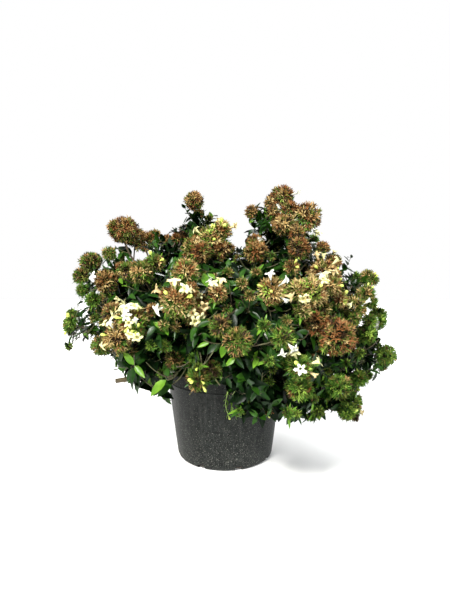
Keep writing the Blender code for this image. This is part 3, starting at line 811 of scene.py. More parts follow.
def addShoots(sprays, heads, chance):
    # short leafy shoots all along the stems, twigs and spurs
    shoots, spread = [], twiggery["angleSpread"]
    for spray in list(sprays):
        line, length, row = spray["line"], lineLength(spray["line"]), masses[spray["mass"]]
        back = twiggery["tipRoom"] + twiggery["headRoom"] * spray["head"]
        turn = chance.uniform(0.0, 360.0)
        while back < length - twiggery["footRoom"]:
            share = (length - back) / length
            base, _, along = wayAt(line, share * twiggery["behind"], share)
            back += twiggery["shootSpacing"] * chance.uniform(*twiggery["spacingSpread"])
            turn += growth["goldenAngle"]
            angle = twiggery["shootAngle"] + chance.uniform(-spread, spread)
            for _ in range(twiggery["tries"]):
                shoot = twigLine(base, along, turn, angle, chance.uniform(*twiggery["shootLength"]))
                free = withinReach(row, np.array(shoot[1:])) and not insideHead(shoot[1:], heads)
                if free and not openings.meet(shoot[1:]):
                    curve = smoothLine(shoot, twiggery["shootPoints"])
                    shoots.append(newSpray(curve, "shootRadius", 0.0, spray["mass"], 2))
                    break
                turn += twiggery["tryTurn"]
    for shoot in shoots:
        tip, row = shoot["line"][-1], masses[shoot["mass"]]
        outer = (tip - growth["heart"]).length / row[3]
        if outer < twiggery["outerShare"] or chance.random() > twiggery["shootHeads"]:
            continue
        radius = chance.uniform(*twiggery["shootHeadRadius"])
        if headFits(tip, radius, heads):
            shoot["head"] = radius
            heads.append((tip, radius, youngColours[row[8]], noFlowers))
    sprays += shoots


def growPlant():
    chance = random.Random(twiggery["seed"])
    canes, stems, twigs = growLimbs()
    sprays, heads = [], []
    for index, row in enumerate(masses):
        head, colours, flowers = row[4], row[8], (*row, noFlowers)[9]
        sprays.append(newSpray(stems[index], "stemRadius", head, index, 0))
        if head:
            heads.append((stems[index][-1], head, colours, flowers))
        for line, radius in twigs[index]:
            if openings.meet([line[-1]]):
                continue
            curve = smoothLine(line, twiggery["twigPoints"])
            sprays.append(newSpray(curve, "twigRadius", radius, index, 1))
            if radius:
                buds = chance.choice(twiggery["sideBuds"])
                buds = 0 if colours in twiggery["noBuds"] else buds
                heads.append((line[-1], radius, colours, (0, 0, 0, buds)))
    for row in (*spurHeads, *moreHeads(heads, chance)):
        addSpur(sprays, heads, *row)
    openings.before(heads)
    for row in (*leafySpurs, *largeLeaves):
        addSpur(sprays, heads, *row[:3])
    addShoots(sprays, heads, chance)
    print("grown:", len(canes), "canes,", len(sprays), "sprays,", len(heads), "heads")
    return canes, sprays, heads


# Things that repeat: small shapes set on points that carry a turn, a size and a kind

batches = {}


def put(batch, at, along, face, size, kind):
    # +X of the shape goes along, and its +Z towards the face
    side = face.cross(along)
    if side.length < inLine:
        side = across(along, 0.0)
    side.normalize()
    turn = Matrix((along, side, along.cross(side))).transposed().to_euler()
    batches.setdefault(batch, []).append((tuple(at), tuple(turn), size, kind))


def newTree(name, inputs):
    tree = bpy.data.node_groups.new(name, "GeometryNodeTree")
    tree.interface.new_socket("Geometry", in_out="INPUT", socket_type="NodeSocketGeometry")
    for label, kind in inputs.items():
        tree.interface.new_socket(label, in_out="INPUT", socket_type="NodeSocket" + kind)
    tree.interface.new_socket("Geometry", in_out="OUTPUT", socket_type="NodeSocketGeometry")
    return tree, tree.nodes.new("NodeGroupInput").outputs


def endTree(tree, geometry, finish):
    # every tree ends in Realize Instances and Set Material
    realize = addNode(tree, "GeometryNodeRealizeInstances", {"Geometry": geometry})
    whole = realize.outputs["Geometry"]
    paint = addNode(tree, "GeometryNodeSetMaterial", {"Geometry": whole, "Material": finish})
    addNode(tree, "NodeGroupOutput", {"Geometry": paint.outputs[0]})


def namedValue(tree, name, kind):
    node = addNode(tree, "GeometryNodeInputNamedAttribute", {"Name": name}, data_type=kind)
    return next(out for out in node.outputs if out.name == "Attribute" and out.enabled)


def scatterTree():
    tree, given = newTree("setOnPoints", {
        "Kinds": "Collection",
        "Size": "Float",
        "Unevenness": "Float",
        "Seed": "Int",
        "Finish": "Material",
    })
    kinds = addNode(tree, "GeometryNodeCollectionInfo", {
        "Collection": given["Kinds"], "Separate Children": True, "Reset Children": True,
    })
    angles = namedValue(tree, "turn", "FLOAT_VECTOR")
    turn = addNode(tree, "FunctionNodeEulerToRotation", {"Euler": angles})
    uneven = addNode(tree, "FunctionNodeRandomValue", {
        2: calculate(tree, "SUBTRACT", 1.0, given["Unevenness"]),
        3: calculate(tree, "ADD", 1.0, given["Unevenness"]),
        "Seed": given["Seed"],
    }, data_type="FLOAT")
    scaled = calculate(tree, "MULTIPLY", namedValue(tree, "size", "FLOAT"), given["Size"])
    placed = addNode(tree, "GeometryNodeInstanceOnPoints", {
        "Points": given["Geometry"],
        "Instance": kinds.outputs["Instances"],
        "Pick Instance": True,
        "Instance Index": namedValue(tree, "kind", "INT"),
        "Rotation": turn.outputs["Rotation"],
        "Scale": calculate(tree, "MULTIPLY", scaled, uneven.outputs[1]),
    })
    endTree(tree, placed.outputs["Instances"], given["Finish"])
    return tree


def tubeTree():
    # limbs: edges become curves, each as thick as its points say, with ridged bark
    tree, given = newTree("limbTubes", {
        "Sides": "Int", "Relief": "Float", "Grain": "Float", "Finish": "Material",
    })
    curve = addNode(tree, "GeometryNodeMeshToCurve", {"Mesh": given["Geometry"]})
    ring = addNode(tree, "GeometryNodeCurvePrimitiveCircle", {
        "Resolution": given["Sides"], "Radius": 1.0,
    })
    tube = addNode(tree, "GeometryNodeCurveToMesh", {
        "Curve": curve.outputs["Curve"],
        "Profile Curve": ring.outputs["Curve"],
        "Scale": namedValue(tree, "thick", "FLOAT"),
        "Fill Caps": True,
    })
    place = addNode(tree, "GeometryNodeInputPosition").outputs["Position"]
    ridges = noiseAt(tree, place, given["Grain"], finishing["barkDetail"])
    centred = calculate(tree, "SUBTRACT", ridges, 0.5)
    offset = addNode(tree, "ShaderNodeVectorMath", {
        "Vector": addNode(tree, "GeometryNodeInputNormal").outputs["Normal"],
        "Scale": calculate(tree, "MULTIPLY", centred, given["Relief"]),
    }, operation="SCALE")
    moved = addNode(tree, "GeometryNodeSetPosition", {
        "Geometry": tube.outputs["Mesh"], "Offset": offset.outputs["Vector"],
    })
    endTree(tree, moved.outputs["Geometry"], given["Finish"])
    return tree


def grow(name, mesh, tree, values):
    # runs a tree on the mesh and keeps the result as a plain, smooth mesh
    obj = show(name, mesh)
    modifier = obj.modifiers.new("grow", "NODES")
    modifier.node_group = tree
    for item in tree.interface.items_tree:
        if item.in_out == "INPUT" and item.name in values:
            modifier[item.identifier] = values[item.name]
    graph = bpy.context.evaluated_depsgraph_get()
    done = bpy.data.meshes.new_from_object(
        obj.evaluated_get(graph), preserve_all_data_layers=True, depsgraph=graph
    )
    obj.modifiers.clear()
    obj.data = done
    done.name = name
    for spent in ("turn", "size", "kind", "thick"):
        if spent in done.attributes:
            done.attributes.remove(done.attributes[spent])
    done.shade_smooth()
    return obj


def settle(obj, slot, *nodes):
    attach(obj, "root")
    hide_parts(*nodes)
    print(obj.name, len(obj.data.polygons), "faces")


def scatter(name, kinds, finish, tree, slot, nodes, unevenness=0.08, seed=3):
    # sets one of the kinds on each of the points put under the name
    rows = batches.get(name)
    if not rows:
        return
    places, turns, sizes, numbers = zip(*rows)
    mesh = newMesh(name, places)
    for label, kind, field, column in (
        ("turn", "FLOAT_VECTOR", "vector", turns),
        ("size", "FLOAT", "value", sizes),
        ("kind", "INT", "value", numbers),
    ):
        mesh.attributes.new(label, kind, "POINT").data.foreach_set(field, np.array(column).ravel())
    values = {"Kinds": kinds, "Size": 1.0, "Unevenness": unevenness, "Seed": seed, "Finish": finish}
    settle(grow(name, mesh, tree, values), slot, *nodes)


def kindsOf(name, build, rows):
    collection = bpy.data.collections.new(name)
    for i, row in enumerate(rows):
        label = f"{name}{i}"
        collection.objects.link(bpy.data.objects.new(label, build(label, *row)))
    return collection


def clearKinds(*collections):
    for kinds in collections:
        for obj in list(kinds.objects):
            bpy.data.objects.remove(obj)
        bpy.data.collections.remove(kinds)


# sides, relief and grain of each set of limbs, finer on thin ones
tubeLooks = {
    "canes": (12, 0.0016, 260.0),
    "leafyStems": (9, 0.0008, 300.0),
    "twigs": (6, 0.0003, 400.0),
    "shoots": (4, 0.0, 400.0),
    "trailingShoots": (5, 0.0, 400.0),
}


def tubes(name, limbs, finish, tree, slot, nodes):
    # limbs are (points, thick at the start, thick at the end)
    sides, relief, grain = tubeLooks[name]
    points, edges, thick = [], [], []
    for line, first, last in limbs:
        start = len(points)
        points += [tuple(point) for point in line]
        thick += [first + (last - first) * i / (len(line) - 1) for i in range(len(line))]
        edges += [(i, i + 1) for i in range(start, len(points) - 1)]
    mesh = newMesh(name, points, edges)
    mesh.attributes.new("thick", "FLOAT", "POINT").data.foreach_set("value", thick)
    values = {"Sides": sides, "Relief": relief, "Grain": grain, "Finish": finish}
    settle(grow(name, mesh, tree, values), slot, *nodes)


# Leaves: pointed ovals, folded along the midrib and bent down at the tip

leafage = {
    "seed": 23,
    "length": (0.043, 0.040, 0.034),     # on stems, twigs and shoots
    "lengthSpread": (0.82, 1.12),
    "spacing": (0.0095, 0.0105, 0.0085),
    "spacingSpread": (0.9, 1.1),
    "bareFoot": (0.030, 0.016, 0.006),
    "bareTip": (0.002, 0.95),    # the least, and how much of the radius of the spray's head
    "behind": 0.97,
    "firstTurn": 45.0,
    "pairTurn": 90.0,
    "young": (0.58, 0.42, 0.045),        # size at the tip, what is added, and over what length
    "crowded": (0.80, 0.5),      # size where few others are near, and what is added where many are
    "widthShare": 0.44,
    "angle": 62.0,
    "stray": 26.0,
    "lift": (-0.35, 0.20),
    "faceUp": 0.7,
    "faceStray": 0.45,
    "faceSteepest": 80,
    "checkedAt": 0.55,           # of a leaf's length, besides its tip
    "reachShare": 0.99,          # of a mass's reach, so that its heads stand clear
    "headRoom": 0.86,            # of a head's radius, where no leaf ends
    "rimRoom": (0.004, 0.002),   # beside and above the pot's rim
    "lowest": 0.098,
    "boxRoom": 0.004,
    "outline": ((0.05, 0.12), (0.20, 0.76), (0.44, 1.0), (0.70, 0.74), (0.88, 0.34)),
    # fold, bend and width of each kind, the last for narrow leaves
    "kinds": (
        (0.30, 0.16, 1.0),
        (0.18, 0.28, 1.08),
        (0.42, 0.08, 0.86),
        (0.24, -0.06, 0.95),
        (0.5, 0.1, 0.56),
    ),
    "wideKinds": 4,              # the first ones, dealt to the leaves by chance
    "narrowKind": 4,
    "largeKind": 1,
    "largeFace": (20.0, 0.5),    # the rise that a large leaf faces, and how much is added upwards
    # shares of each leaf green, by how far out a spray is, from the outside in: the dark greens dealt
    # further in are painted shade inside the crown
    "depths": (0.90, 0.74, -1.0),
    # open places count as further out, so their leaves get less painted shade
    "openLift": 0.45,            # how much further out a leaf counts where few others are near
    "nearby": 0.045,
    "counted": (0.1, 1.0, 5),    # the part of each spray that counts, and in how many points
    "sampled": 3,                # a leaf's place is ranked among every third of these points
    "shades": (
        (("leavesDeep", 0.44), ("leavesMid", 0.46), ("leavesBright", 0.10)),
        (("leavesDark", 0.36), ("leavesDeep", 0.44), ("leavesMid", 0.20)),
        (("leavesDark", 0.85), ("leavesDeep", 0.15)),
    ),
    # trailing shoots, with small narrow leaves in pairs
    "trailerRadius": (0.0011, 0.0007),
    "trailerLeaf": (0.008, 0.013),
    "trailerSteps": 6,           # points of the curve along each stretch
    "trailerPairs": (8, 3),      # the first point with leaves, and the points to the next
    "trailerTurn": 40.0,
    "trailerOut": 0.9,
    "trailerUp": 0.3,
    "trailerBud": 0.6,
    # small narrow leaves in a collar under each head
    "collarLength": (0.013, 0.020),
    "collarCount": 520,          # for each metre of the head's radius
    "collars": {"green": 1.0, "fresh": 1.0, "olive": 0.6, "dusk": 0.5},
    "otherCollars": 0.25,
    "collarSink": (0.2, 1.1),
    "collarRise": (0.5, 1.1),
    "collarAt": 0.45,            # of the head's radius
    "collarUp": 0.5,
    "collarShades": (("leavesMid", 0.5), ("leavesBright", 0.2), ("leavesDeep", 0.3)),
}


def leafMesh(name, fold, bend, wide):
    half = leafage["widthShare"] * wide / 2
    points, faces = [(0.0, 0.0, 0.0)], [(0, 2, 1), (0, 3, 2)]
    for run, width in leafage["outline"]:
        drop = -bend * run * run
        side = half * width
        points += [(run, side, drop + fold * side), (run, 0.0, drop), (run, -side, drop + fold * side)]
    tip = len(points)
    points.append((1.0, 0.0, -bend))
    for i in range(1, tip - 3, 3):
        faces += [(i, i + 1, i + 4, i + 3), (i + 1, i + 2, i + 5, i + 4)]
    faces += [(tip - 3, tip - 2, tip), (tip - 2, tip - 1, tip)]
    mesh = newMesh(name, points, faces=faces)
    layer = mesh.uv_layers.new(name="UVMap")
    for loop in mesh.loops:
        x, y, _ = points[loop.vertex_index]
        layer.data[loop.index].uv = (x, 0.5 + y)
    mesh.shade_smooth()
    return mesh


def pickOf(shares, draw):
    # the name whose share the draw, from 0 to their sum, falls in
    for name, share in shares:
        draw -= share
        if draw <= 0.0:
            return name
    return shares[-1][0]


# deals a leaf's green by its depth in the crown and how few leaves are near it: darker further in, as
# painted shade
def paintedLeafShade(at, mass, crowd, chance):
    depth = (at - growth["heart"]).length / masses[mass][3] + leafage["openLift"] * (0.5 - crowd)
    band = next(i for i, least in enumerate(leafage["depths"]) if depth >= least)
    return pickOf(leafage["shades"][band], chance.random())


def clearOf(points, limit, headCentres, headRadii):
    beside, above = leafage["rimRoom"]
    room = leafage["boxRoom"]
    for point in points:
        if (point - growth["heart"]).length > limit or point.z < leafage["lowest"]:
            return False
        if math.hypot(point.x, point.y) < potHigh.x + beside and point.z < potHigh.z + above:
            return False
        if any(not cadBox[0][i] - room < point[i] < cadBox[1][i] + room for i in range(3)):
            return False
        if (np.linalg.norm(headCentres - np.array(point), axis=1) < headRadii).any():
            return False
    return True


def crowding(sprays):
    # for any point, the share of the crown's points that have fewer neighbours than it
    points = [point for spray in sprays for point in partOf(spray["line"], *leafage["counted"])]
    tree = KDTree(len(points))
    for i, point in enumerate(points):
        tree.insert(point, i)
    tree.balance()

    def near(at):
        return len(tree.find_range(at, leafage["nearby"]))

    counts = np.sort([near(point) for point in points[::leafage["sampled"]]])
    return lambda at: np.searchsorted(counts, near(at)) / len(counts)


def placeLeaves(sprays, heads):
    chance = random.Random(leafage["seed"])
    crowdAt = crowding(sprays)
    centres = np.array([tuple(head[0]) for head in heads])
    radii = np.array([head[1] * leafage["headRoom"] for head in heads])
    least, headShare = leafage["bareTip"]
    small, added, over = leafage["young"]
    alone, among = leafage["crowded"]
    stray = leafage["stray"]
    for spray in sprays:
        line, length, rank = spray["line"], lineLength(spray["line"]), spray["rank"]
        limit = masses[spray["mass"]][3] * leafage["reachShare"]
        back, pair = max(least, headShare * spray["head"]), 0
        while length - back > leafage["bareFoot"][rank]:
            share = (length - back) / length
            _, at, along = wayAt(line, share * leafage["behind"], share)
            young = small + added * min(1.0, back / over)
            crowd = crowdAt(at)
            shade = paintedLeafShade(at, spray["mass"], crowd, chance)
            for side in (0, 1):
                turn = leafage["firstTurn"] + leafage["pairTurn"] * pair + 180.0 * side
                out = across(along, turn + chance.uniform(-stray, stray))
                run = leaning(along, out, leafage["angle"] + chance.uniform(-stray, stray))
                run = (run + up * chance.uniform(*leafage["lift"])).normalized()
                face = (at - growth["heart"]).normalized() + up * leafage["faceUp"]
                face += anyWay(chance, leafage["faceSteepest"]) * leafage["faceStray"]
                size = leafage["length"][rank] * young * chance.uniform(*leafage["lengthSpread"])
                size *= min(1.0, alone + among * crowd)
                ends = (at + run * size * leafage["checkedAt"], at + run * size)
                if clearOf(ends, limit, centres, radii) and not openings.meet(ends):
                    put(shade, at, run, face, size, chance.randrange(leafage["wideKinds"]))
            back += leafage["spacing"][rank] * chance.uniform(*leafage["spacingSpread"])
            pair += 1


def placeLargeLeaves():
    faceRise, faceUp = leafage["largeFace"]
    for bearing, rise, reach, toBearing, toRise, size, shade in largeLeaves:
        foot = growth["heart"] + direction(bearing, rise) * reach
        face = direction(bearing, faceRise) + up * faceUp
        put(shade, foot, direction(toBearing, toRise), face, size, leafage["largeKind"])


def smoothHulls(line):
    # the four control points of a smooth curve along each stretch of the line
    for i in range(len(line) - 1):
        before, after = line[max(0, i - 1)], line[min(len(line) - 1, i + 2)]
        start, end = line[i], line[i + 1]
        yield start, start + (end - before) / 6, end - (after - start) / 6, end


def placeTrailers(sprays):
    # each starts on the nearest twig
    chance, lines = random.Random(leafage["seed"]), []
    steps = leafage["trailerSteps"]
    first, apart = leafage["trailerPairs"]
    for row in trailers:
        points = [Vector(point) for point in row]
        line = [nearestBase(points[0], sprays)[0], *points]
        curve = [curveAt(hull, i / steps) for hull in smoothHulls(line) for i in range(steps)]
        curve.append(line[-1])
        lines.append((curve, *leafage["trailerRadius"]))
        for i in range(first, len(curve) - 1, apart):
            along = (curve[i + 1] - curve[i]).normalized()
            for side in (0, 1):
                out = across(along, leafage["trailerTurn"] * i + 180.0 * side)
                run = (along + out * leafage["trailerOut"]).normalized()
                face, size = out + up * leafage["trailerUp"], chance.uniform(*leafage["trailerLeaf"])
                put("leavesBright", curve[i], run, face, size, leafage["narrowKind"])
        put("flowerBuds", curve[-1], (curve[-1] - curve[-2]).normalized(), up, leafage["trailerBud"], 0)
    return lines


def placeCollar(head, chance):
    centre, radius, name = head[:3]
    outward = (centre - growth["heart"]).normalized()
    count = radius * leafage["collarCount"] * leafage["collars"].get(name, leafage["otherCollars"])
    for _ in range(round(count)):
        flat = across(outward, chance.uniform(0.0, 360.0))
        out = (flat - outward * chance.uniform(*leafage["collarSink"])).normalized()
        along = (out + outward * chance.uniform(*leafage["collarRise"])).normalized()
        size = chance.uniform(*leafage["collarLength"])
        shade = pickOf(leafage["collarShades"], chance.random())
        at, face = centre + out * radius * leafage["collarAt"], outward + up * leafage["collarUp"]
        put(shade, at, along, face, size, leafage["narrowKind"])


# Flower heads: calyces of narrow pointed sepals on stalks from the middle of a ball

headage = {
    "seed": 41,
    "apart": 0.0069,
    "shells": ((1.0, 1.0), (0.62, 0.8)), # share of the radius, and how closely it is set
    "leastReach": 0.0015,
    "fewest": 7,
    "lengthInside": 0.80,        # of a calyx, inside the head's radius
    "stray": 0.16,
    "size": (0.85, 1.1),
    "smallHead": (0.62, 0.05),   # calyx size in the least head, and the radius that adds 1 to it
    "lumpBase": 0.92,
    "lump": 0.40,                # how uneven a head's outline is, and how large its lumps
    "lumpGrain": 2.3,
    "noiseShift": 9,
    "patch": 0.55,               # how far colours keep together in patches
    "patchGain": 2.2,
    "patchGrain": 1.9,
    "calyxKinds": ((5, 30, 1), (5, 48, 2), (4, 18, 3)),      # sepals, how far they open, seed
    "sepalLength": 0.0105,
    "sepalWidth": 0.0023,
    "aroundStray": 16,
    "openStray": 10,
    "lengthSpread": (0.8, 1.12),
    "sepalFoot": 0.0004,
    "widestAt": 0.55,
    "fold": 0.25,
    "tipCurl": 0.06,
    "stalk": ((-0.010, 0.0), (0.0010, 0.0009)),
    "stalkSides": 3,
    "warm": ("rust", "tan", "brown", "gold", "umber", "dark"),
    # the inner shell is dealt mostly the nearly black Shade: painted shade deep inside the head, between
    # the outer sepals
    "warmInside": (("Shade", 58), ("Brown", 26), ("Olive", 12), ("Rust", 4)),
    "coolInside": (("Shade", 62), ("Brown", 6), ("Olive", 20), ("Green", 12)),
    "under": (("Green", 44), ("Olive", 36), ("Lime", 8), ("Brown", 12)),
    "underFrom": 0.15,
    "underShare": (0.9, 0.5),    # in heads that aren't warm, and in those that are
    # shares of each colour among a head's calyces
    "colours": {
        "rust": (("Brown", 20), ("Rust", 34), ("Tan", 18), ("Gold", 6), ("Olive", 22)),
        "tan": (("Brown", 12), ("Rust", 18), ("Tan", 32), ("Gold", 20), ("Olive", 18)),
        "brown": (("Brown", 16), ("Rust", 26), ("Tan", 40), ("Olive", 18)),
        "mixed": (("Rust", 24), ("Tan", 24), ("Gold", 16), ("Lime", 6), ("Olive", 20), ("Green", 10)),
        "umber": (("Brown", 34), ("Rust", 28), ("Tan", 16), ("Olive", 22)),
        "dark": (("Shade", 26), ("Brown", 58), ("Rust", 10), ("Olive", 6)),
        "dusk": (("Brown", 28), ("Tan", 16), ("Olive", 30), ("Green", 26)),
        "gold": (("Rust", 14), ("Tan", 22), ("Gold", 32), ("Lime", 14), ("Olive", 18)),
        "olive": (("Brown", 8), ("Tan", 20), ("Gold", 12), ("Olive", 38), ("Green", 22)),
        "green": (("Brown", 6), ("Tan", 4), ("Olive", 22), ("Green", 48), ("Lime", 20)),
        "fresh": (("Rust", 10), ("Tan", 6), ("Olive", 20), ("Green", 34), ("Lime", 30)),
    },
}


def calyxMesh(name, sepals, spread, seed):
    # narrow sepals, each a kite folded along its midrib
    chance = random.Random(seed)
    points, faces = [], []
    wide, ahead = headage["sepalWidth"], Vector((1.0, 0.0, 0.0))
    aroundStray, openStray = headage["aroundStray"], headage["openStray"]
    for k in range(sepals):
        around = math.radians(360.0 * k / sepals + chance.uniform(-aroundStray, aroundStray))
        tilt = math.radians(spread + chance.uniform(-openStray, openStray))
        out = Vector((0.0, math.cos(around), math.sin(around)))
        run = ahead * math.cos(tilt) + out * math.sin(tilt)
        side = ahead.cross(out) * wide / 2
        inward = ahead * math.sin(tilt) - out * math.cos(tilt)
        length = headage["sepalLength"] * chance.uniform(*headage["lengthSpread"])
        start = out * headage["sepalFoot"]
        middle = start + run * length * headage["widestAt"] + inward * wide * headage["fold"]
        tip = start + run * length - inward * length * headage["tipCurl"]
        n = len(points)
        points += [start, middle + side, middle - side, tip]
        faces += [(n, n + 1, n + 3), (n, n + 3, n + 2)]
    return newMesh(name, [tuple(point) for point in points], faces=faces)


def ringsMesh(name, rings, sides):
    # a closed turned shape along +X from (run, radius) rings, with a point where the radius is 0
    points, faces, loops = [], [], []
    for run, radius in rings:
        start = len(points)
        if radius == 0.0:
            points.append((run, 0.0, 0.0))
            loops.append([start] * sides)
            continue
        for k in range(sides):
            a = 2 * math.pi * k / sides
            points.append((run, radius * math.cos(a), radius * math.sin(a)))
        loops.append(list(range(start, start + sides)))
    for low, high in zip(loops, loops[1:]):
        for k in range(sides):
            face = (low[k], low[(k + 1) % sides], high[(k + 1) % sides], high[k])
            faces.append(tuple(dict.fromkeys(face)))
    if rings[0][1]:
        faces.append(tuple(reversed(loops[0])))
    if rings[-1][1]:
        faces.append(tuple(loops[-1]))
    return newMesh(name, points, faces=faces)


flower = {
    "sides": 20,
    # share of the length, radius and how far the lobes have parted
    "rings": ((0.0, 0.0010, 0.0), (0.45, 0.0014, 0.0), (0.78, 0.0028, 0.0), (0.95, 0.0048, 0.12),
              (1.00, 0.0080, 0.62), (0.97, 0.0112, 1.0)),
    "throat": 0.0036,
    "cleft": 0.62,
    "lobes": 5,
    "lobeShape": 1.15,
    "lobeSize": (0.74, 1.12),
    "lobeLift": (-0.0046, 0.0026),
    "curl": 0.0046,
    "flatSpread": 0.6,           # a flower that has opened this far doesn't curl
    # how far open, how long and seed of each kind
    "kinds": ((1.0, 0.018, 1), (0.62, 0.020, 2), (0.86, 0.018, 3), (0.40, 0.020, 4)),
    "buds": (
        ((0.0, 0.0008), (0.006, 0.0014), (0.0105, 0.0029), (0.0135, 0.0024), (0.015, 0.0)),
        ((0.0, 0.0007), (0.007, 0.0012), (0.013, 0.0022), (0.016, 0.0)),
    ),
    "budSides": 8,
    "size": (0.85, 1.1),
    "sink": 0.011,
    "stray": 1.15,
    "straySteepest": 70,
    "up": 0.2,
}


def flowerMesh(name, spread, long, seed):
    # a narrow tube that widens into five uneven lobes, as a thin sheet
    chance = random.Random(seed)
    sides, count, points, faces = flower["sides"], flower["lobes"], [], []
    sizes, lifts = flower["lobeSize"], flower["lobeLift"]
    lobes = [(chance.uniform(*sizes), chance.uniform(*lifts)) for _ in range(count)]
    for run, radius, lobed in flower["rings"]:
        for k in range(sides):
            turn = count * k / sides
            size, lift = lobes[round(turn) % count]
            lobe = abs(math.cos(math.pi * turn)) ** flower["lobeShape"]
            r = radius if not lobed else flower["throat"] + (radius - flower["throat"]) * spread * size
            r *= 1.0 - flower["cleft"] * lobed * (1.0 - lobe)
            curl = lift * lobed * lobe - flower["curl"] * lobed**2 * (spread - flower["flatSpread"])
            a = 2 * math.pi * k / sides
            points.append((run * long + curl, r * math.cos(a), r * math.sin(a)))
    for low in range(0, len(points) - sides, sides):
        for k in range(sides):
            j = (k + 1) % sides
            faces.append((low + k, low + j, low + sides + j, low + sides + k))
    return newMesh(name, points, faces=faces)


def pickColour(colours, chance, lean):
    # lean, from -1 to 1, favours the first or the last colours
    draw = min(1.0, max(0.0, chance.random() * (1.0 - abs(lean)) + max(0.0, lean)))
    return pickOf(colours, draw * sum(share for _, share in colours))


def placeHead(head, chance):
    centre, radius, name, flowers = head
    warm = name in headage["warm"]
    inside = headage["warmInside" if warm else "coolInside"]
    outward = (centre - growth["heart"]).normalized()
    turn = Matrix.Rotation(chance.uniform(0, 2 * math.pi), 3, outward)
    shift = headage["noiseShift"]
    lumps = Vector((chance.uniform(-shift, shift), chance.uniform(-shift, shift), 0.0))
    least, full = headage["smallHead"]
    for shell, share in headage["shells"]:
        outer = shell == 1.0
        reach = radius * shell - headage["sepalLength"] * headage["lengthInside"]
        reach = max(headage["leastReach"], reach)
        count = round(4 * math.pi * (radius * shell) ** 2 / headage["apart"] ** 2 * share)
        count = max(headage["fewest"], count)
        for i in range(count):
            z = 1.0 - 2.0 * (i + 0.5) / count
            a = math.radians(growth["goldenAngle"] * i)
            flat = math.sqrt(1.0 - z * z)
            out = turn @ Vector((flat * math.cos(a), flat * math.sin(a), z))
            out = (out + anyWay(chance) * headage["stray"]).normalized()
            lump = headage["lump"] * noise.noise(out * headage["lumpGrain"] + lumps)
            patch = headage["patchGain"] * noise.noise(out * headage["patchGrain"] - lumps)
            base = centre + out * reach * (headage["lumpBase"] + lump)
            face = anyWay(chance)
            size = chance.uniform(*headage["size"]) * min(1.0, least + radius / full)
            below = headage["underFrom"] - out.dot((outward + up).normalized())
            colours = headage["colours"][name] if outer else inside
            if outer and chance.random() < below * headage["underShare"][warm]:
                colours = headage["under"]
            colour = pickColour(colours, chance, headage["patch"] * max(-1.0, min(1.0, patch)))
            put("sepals" + colour, base, out, face, size, chance.randrange(len(headage["calyxKinds"])))
            if outer:
                put("calyxStalks", base, out, face, size, 0)
    for batch, count in zip(("whiteFlowers", "creamFlowers", "goldFlowers", "flowerBuds"), flowers):
        kinds = flower["buds"] if batch == "flowerBuds" else flower["kinds"]
        for _ in range(count):
            stray = anyWay(chance, flower["straySteepest"])
            along = (outward + stray * flower["stray"] + up * flower["up"]).normalized()
            kind = chance.randrange(len(kinds))
            base = centre + along * (radius - flower["sink"])
            put(batch, base, along, stray, chance.uniform(*flower["size"]), kind)


# Colours

finishes = {
    # the nearly black leaves dealt deep in the crown are painted shade
    "leavesDark": {"light": (0.003, 0.011, 0.002), "dark": (0.001, 0.004, 0.001), "specular": 0.08},
    "leavesDeep": {"light": (0.008, 0.032, 0.003), "dark": (0.0035, 0.014, 0.002)},
    "leavesMid": {"light": (0.023, 0.075, 0.006), "dark": (0.010, 0.038, 0.003)},
    "leavesBright": {"light": (0.120, 0.240, 0.020), "dark": (0.060, 0.150, 0.012)},
    # sepalsShade is painted shade on the calyces inside a head, and also the own dark tone of the dark
    # heads
    "sepalsShade": {"light": (0.022, 0.020, 0.004), "dark": (0.008, 0.010, 0.002)},
    "sepalsRust": {"light": (0.280, 0.112, 0.032), "dark": (0.140, 0.052, 0.015)},
    "sepalsTan": {"light": (0.415, 0.262, 0.096), "dark": (0.215, 0.124, 0.040)},
    "sepalsGold": {"light": (0.620, 0.480, 0.220), "dark": (0.400, 0.280, 0.095)},
    "sepalsOlive": {"light": (0.150, 0.170, 0.026), "dark": (0.060, 0.080, 0.012)},
    "sepalsBrown": {"light": (0.060, 0.030, 0.012), "dark": (0.020, 0.012, 0.005)},
    "sepalsGreen": {"light": (0.090, 0.200, 0.018), "dark": (0.035, 0.100, 0.009)},
    "sepalsLime": {"light": (0.320, 0.450, 0.070), "dark": (0.180, 0.300, 0.036)},
    "calyxStalks": {"light": (0.045, 0.080, 0.010), "dark": (0.018, 0.036, 0.005)},
    "whiteFlowers": {"light": (0.76, 0.77, 0.70), "dark": (0.62, 0.63, 0.52)},
    "creamFlowers": {"light": (0.74, 0.74, 0.38), "dark": (0.64, 0.60, 0.28)},
    "goldFlowers": {"light": (0.68, 0.56, 0.28), "dark": (0.52, 0.38, 0.16)},
    "flowerBuds": {"light": (0.62, 0.70, 0.14), "dark": (0.42, 0.54, 0.08)},
}
leafLook = {
    "patch": 45.0, "grain": 260.0, "rough": (0.22, 0.46), "bump": 0.35, "deep": 0.0008,
    "specular": 0.18,
}
sepalLook = {
    "patch": 160.0, "grain": 1400.0, "rough": (0.55, 0.75), "bump": 0.20, "deep": 0.0003,
    "specular": 0.25,
}
petalLook = {"patch": 120.0, "grain": 1200.0, "rough": (0.45, 0.60), "bump": 0.15, "deep": 0.0003}
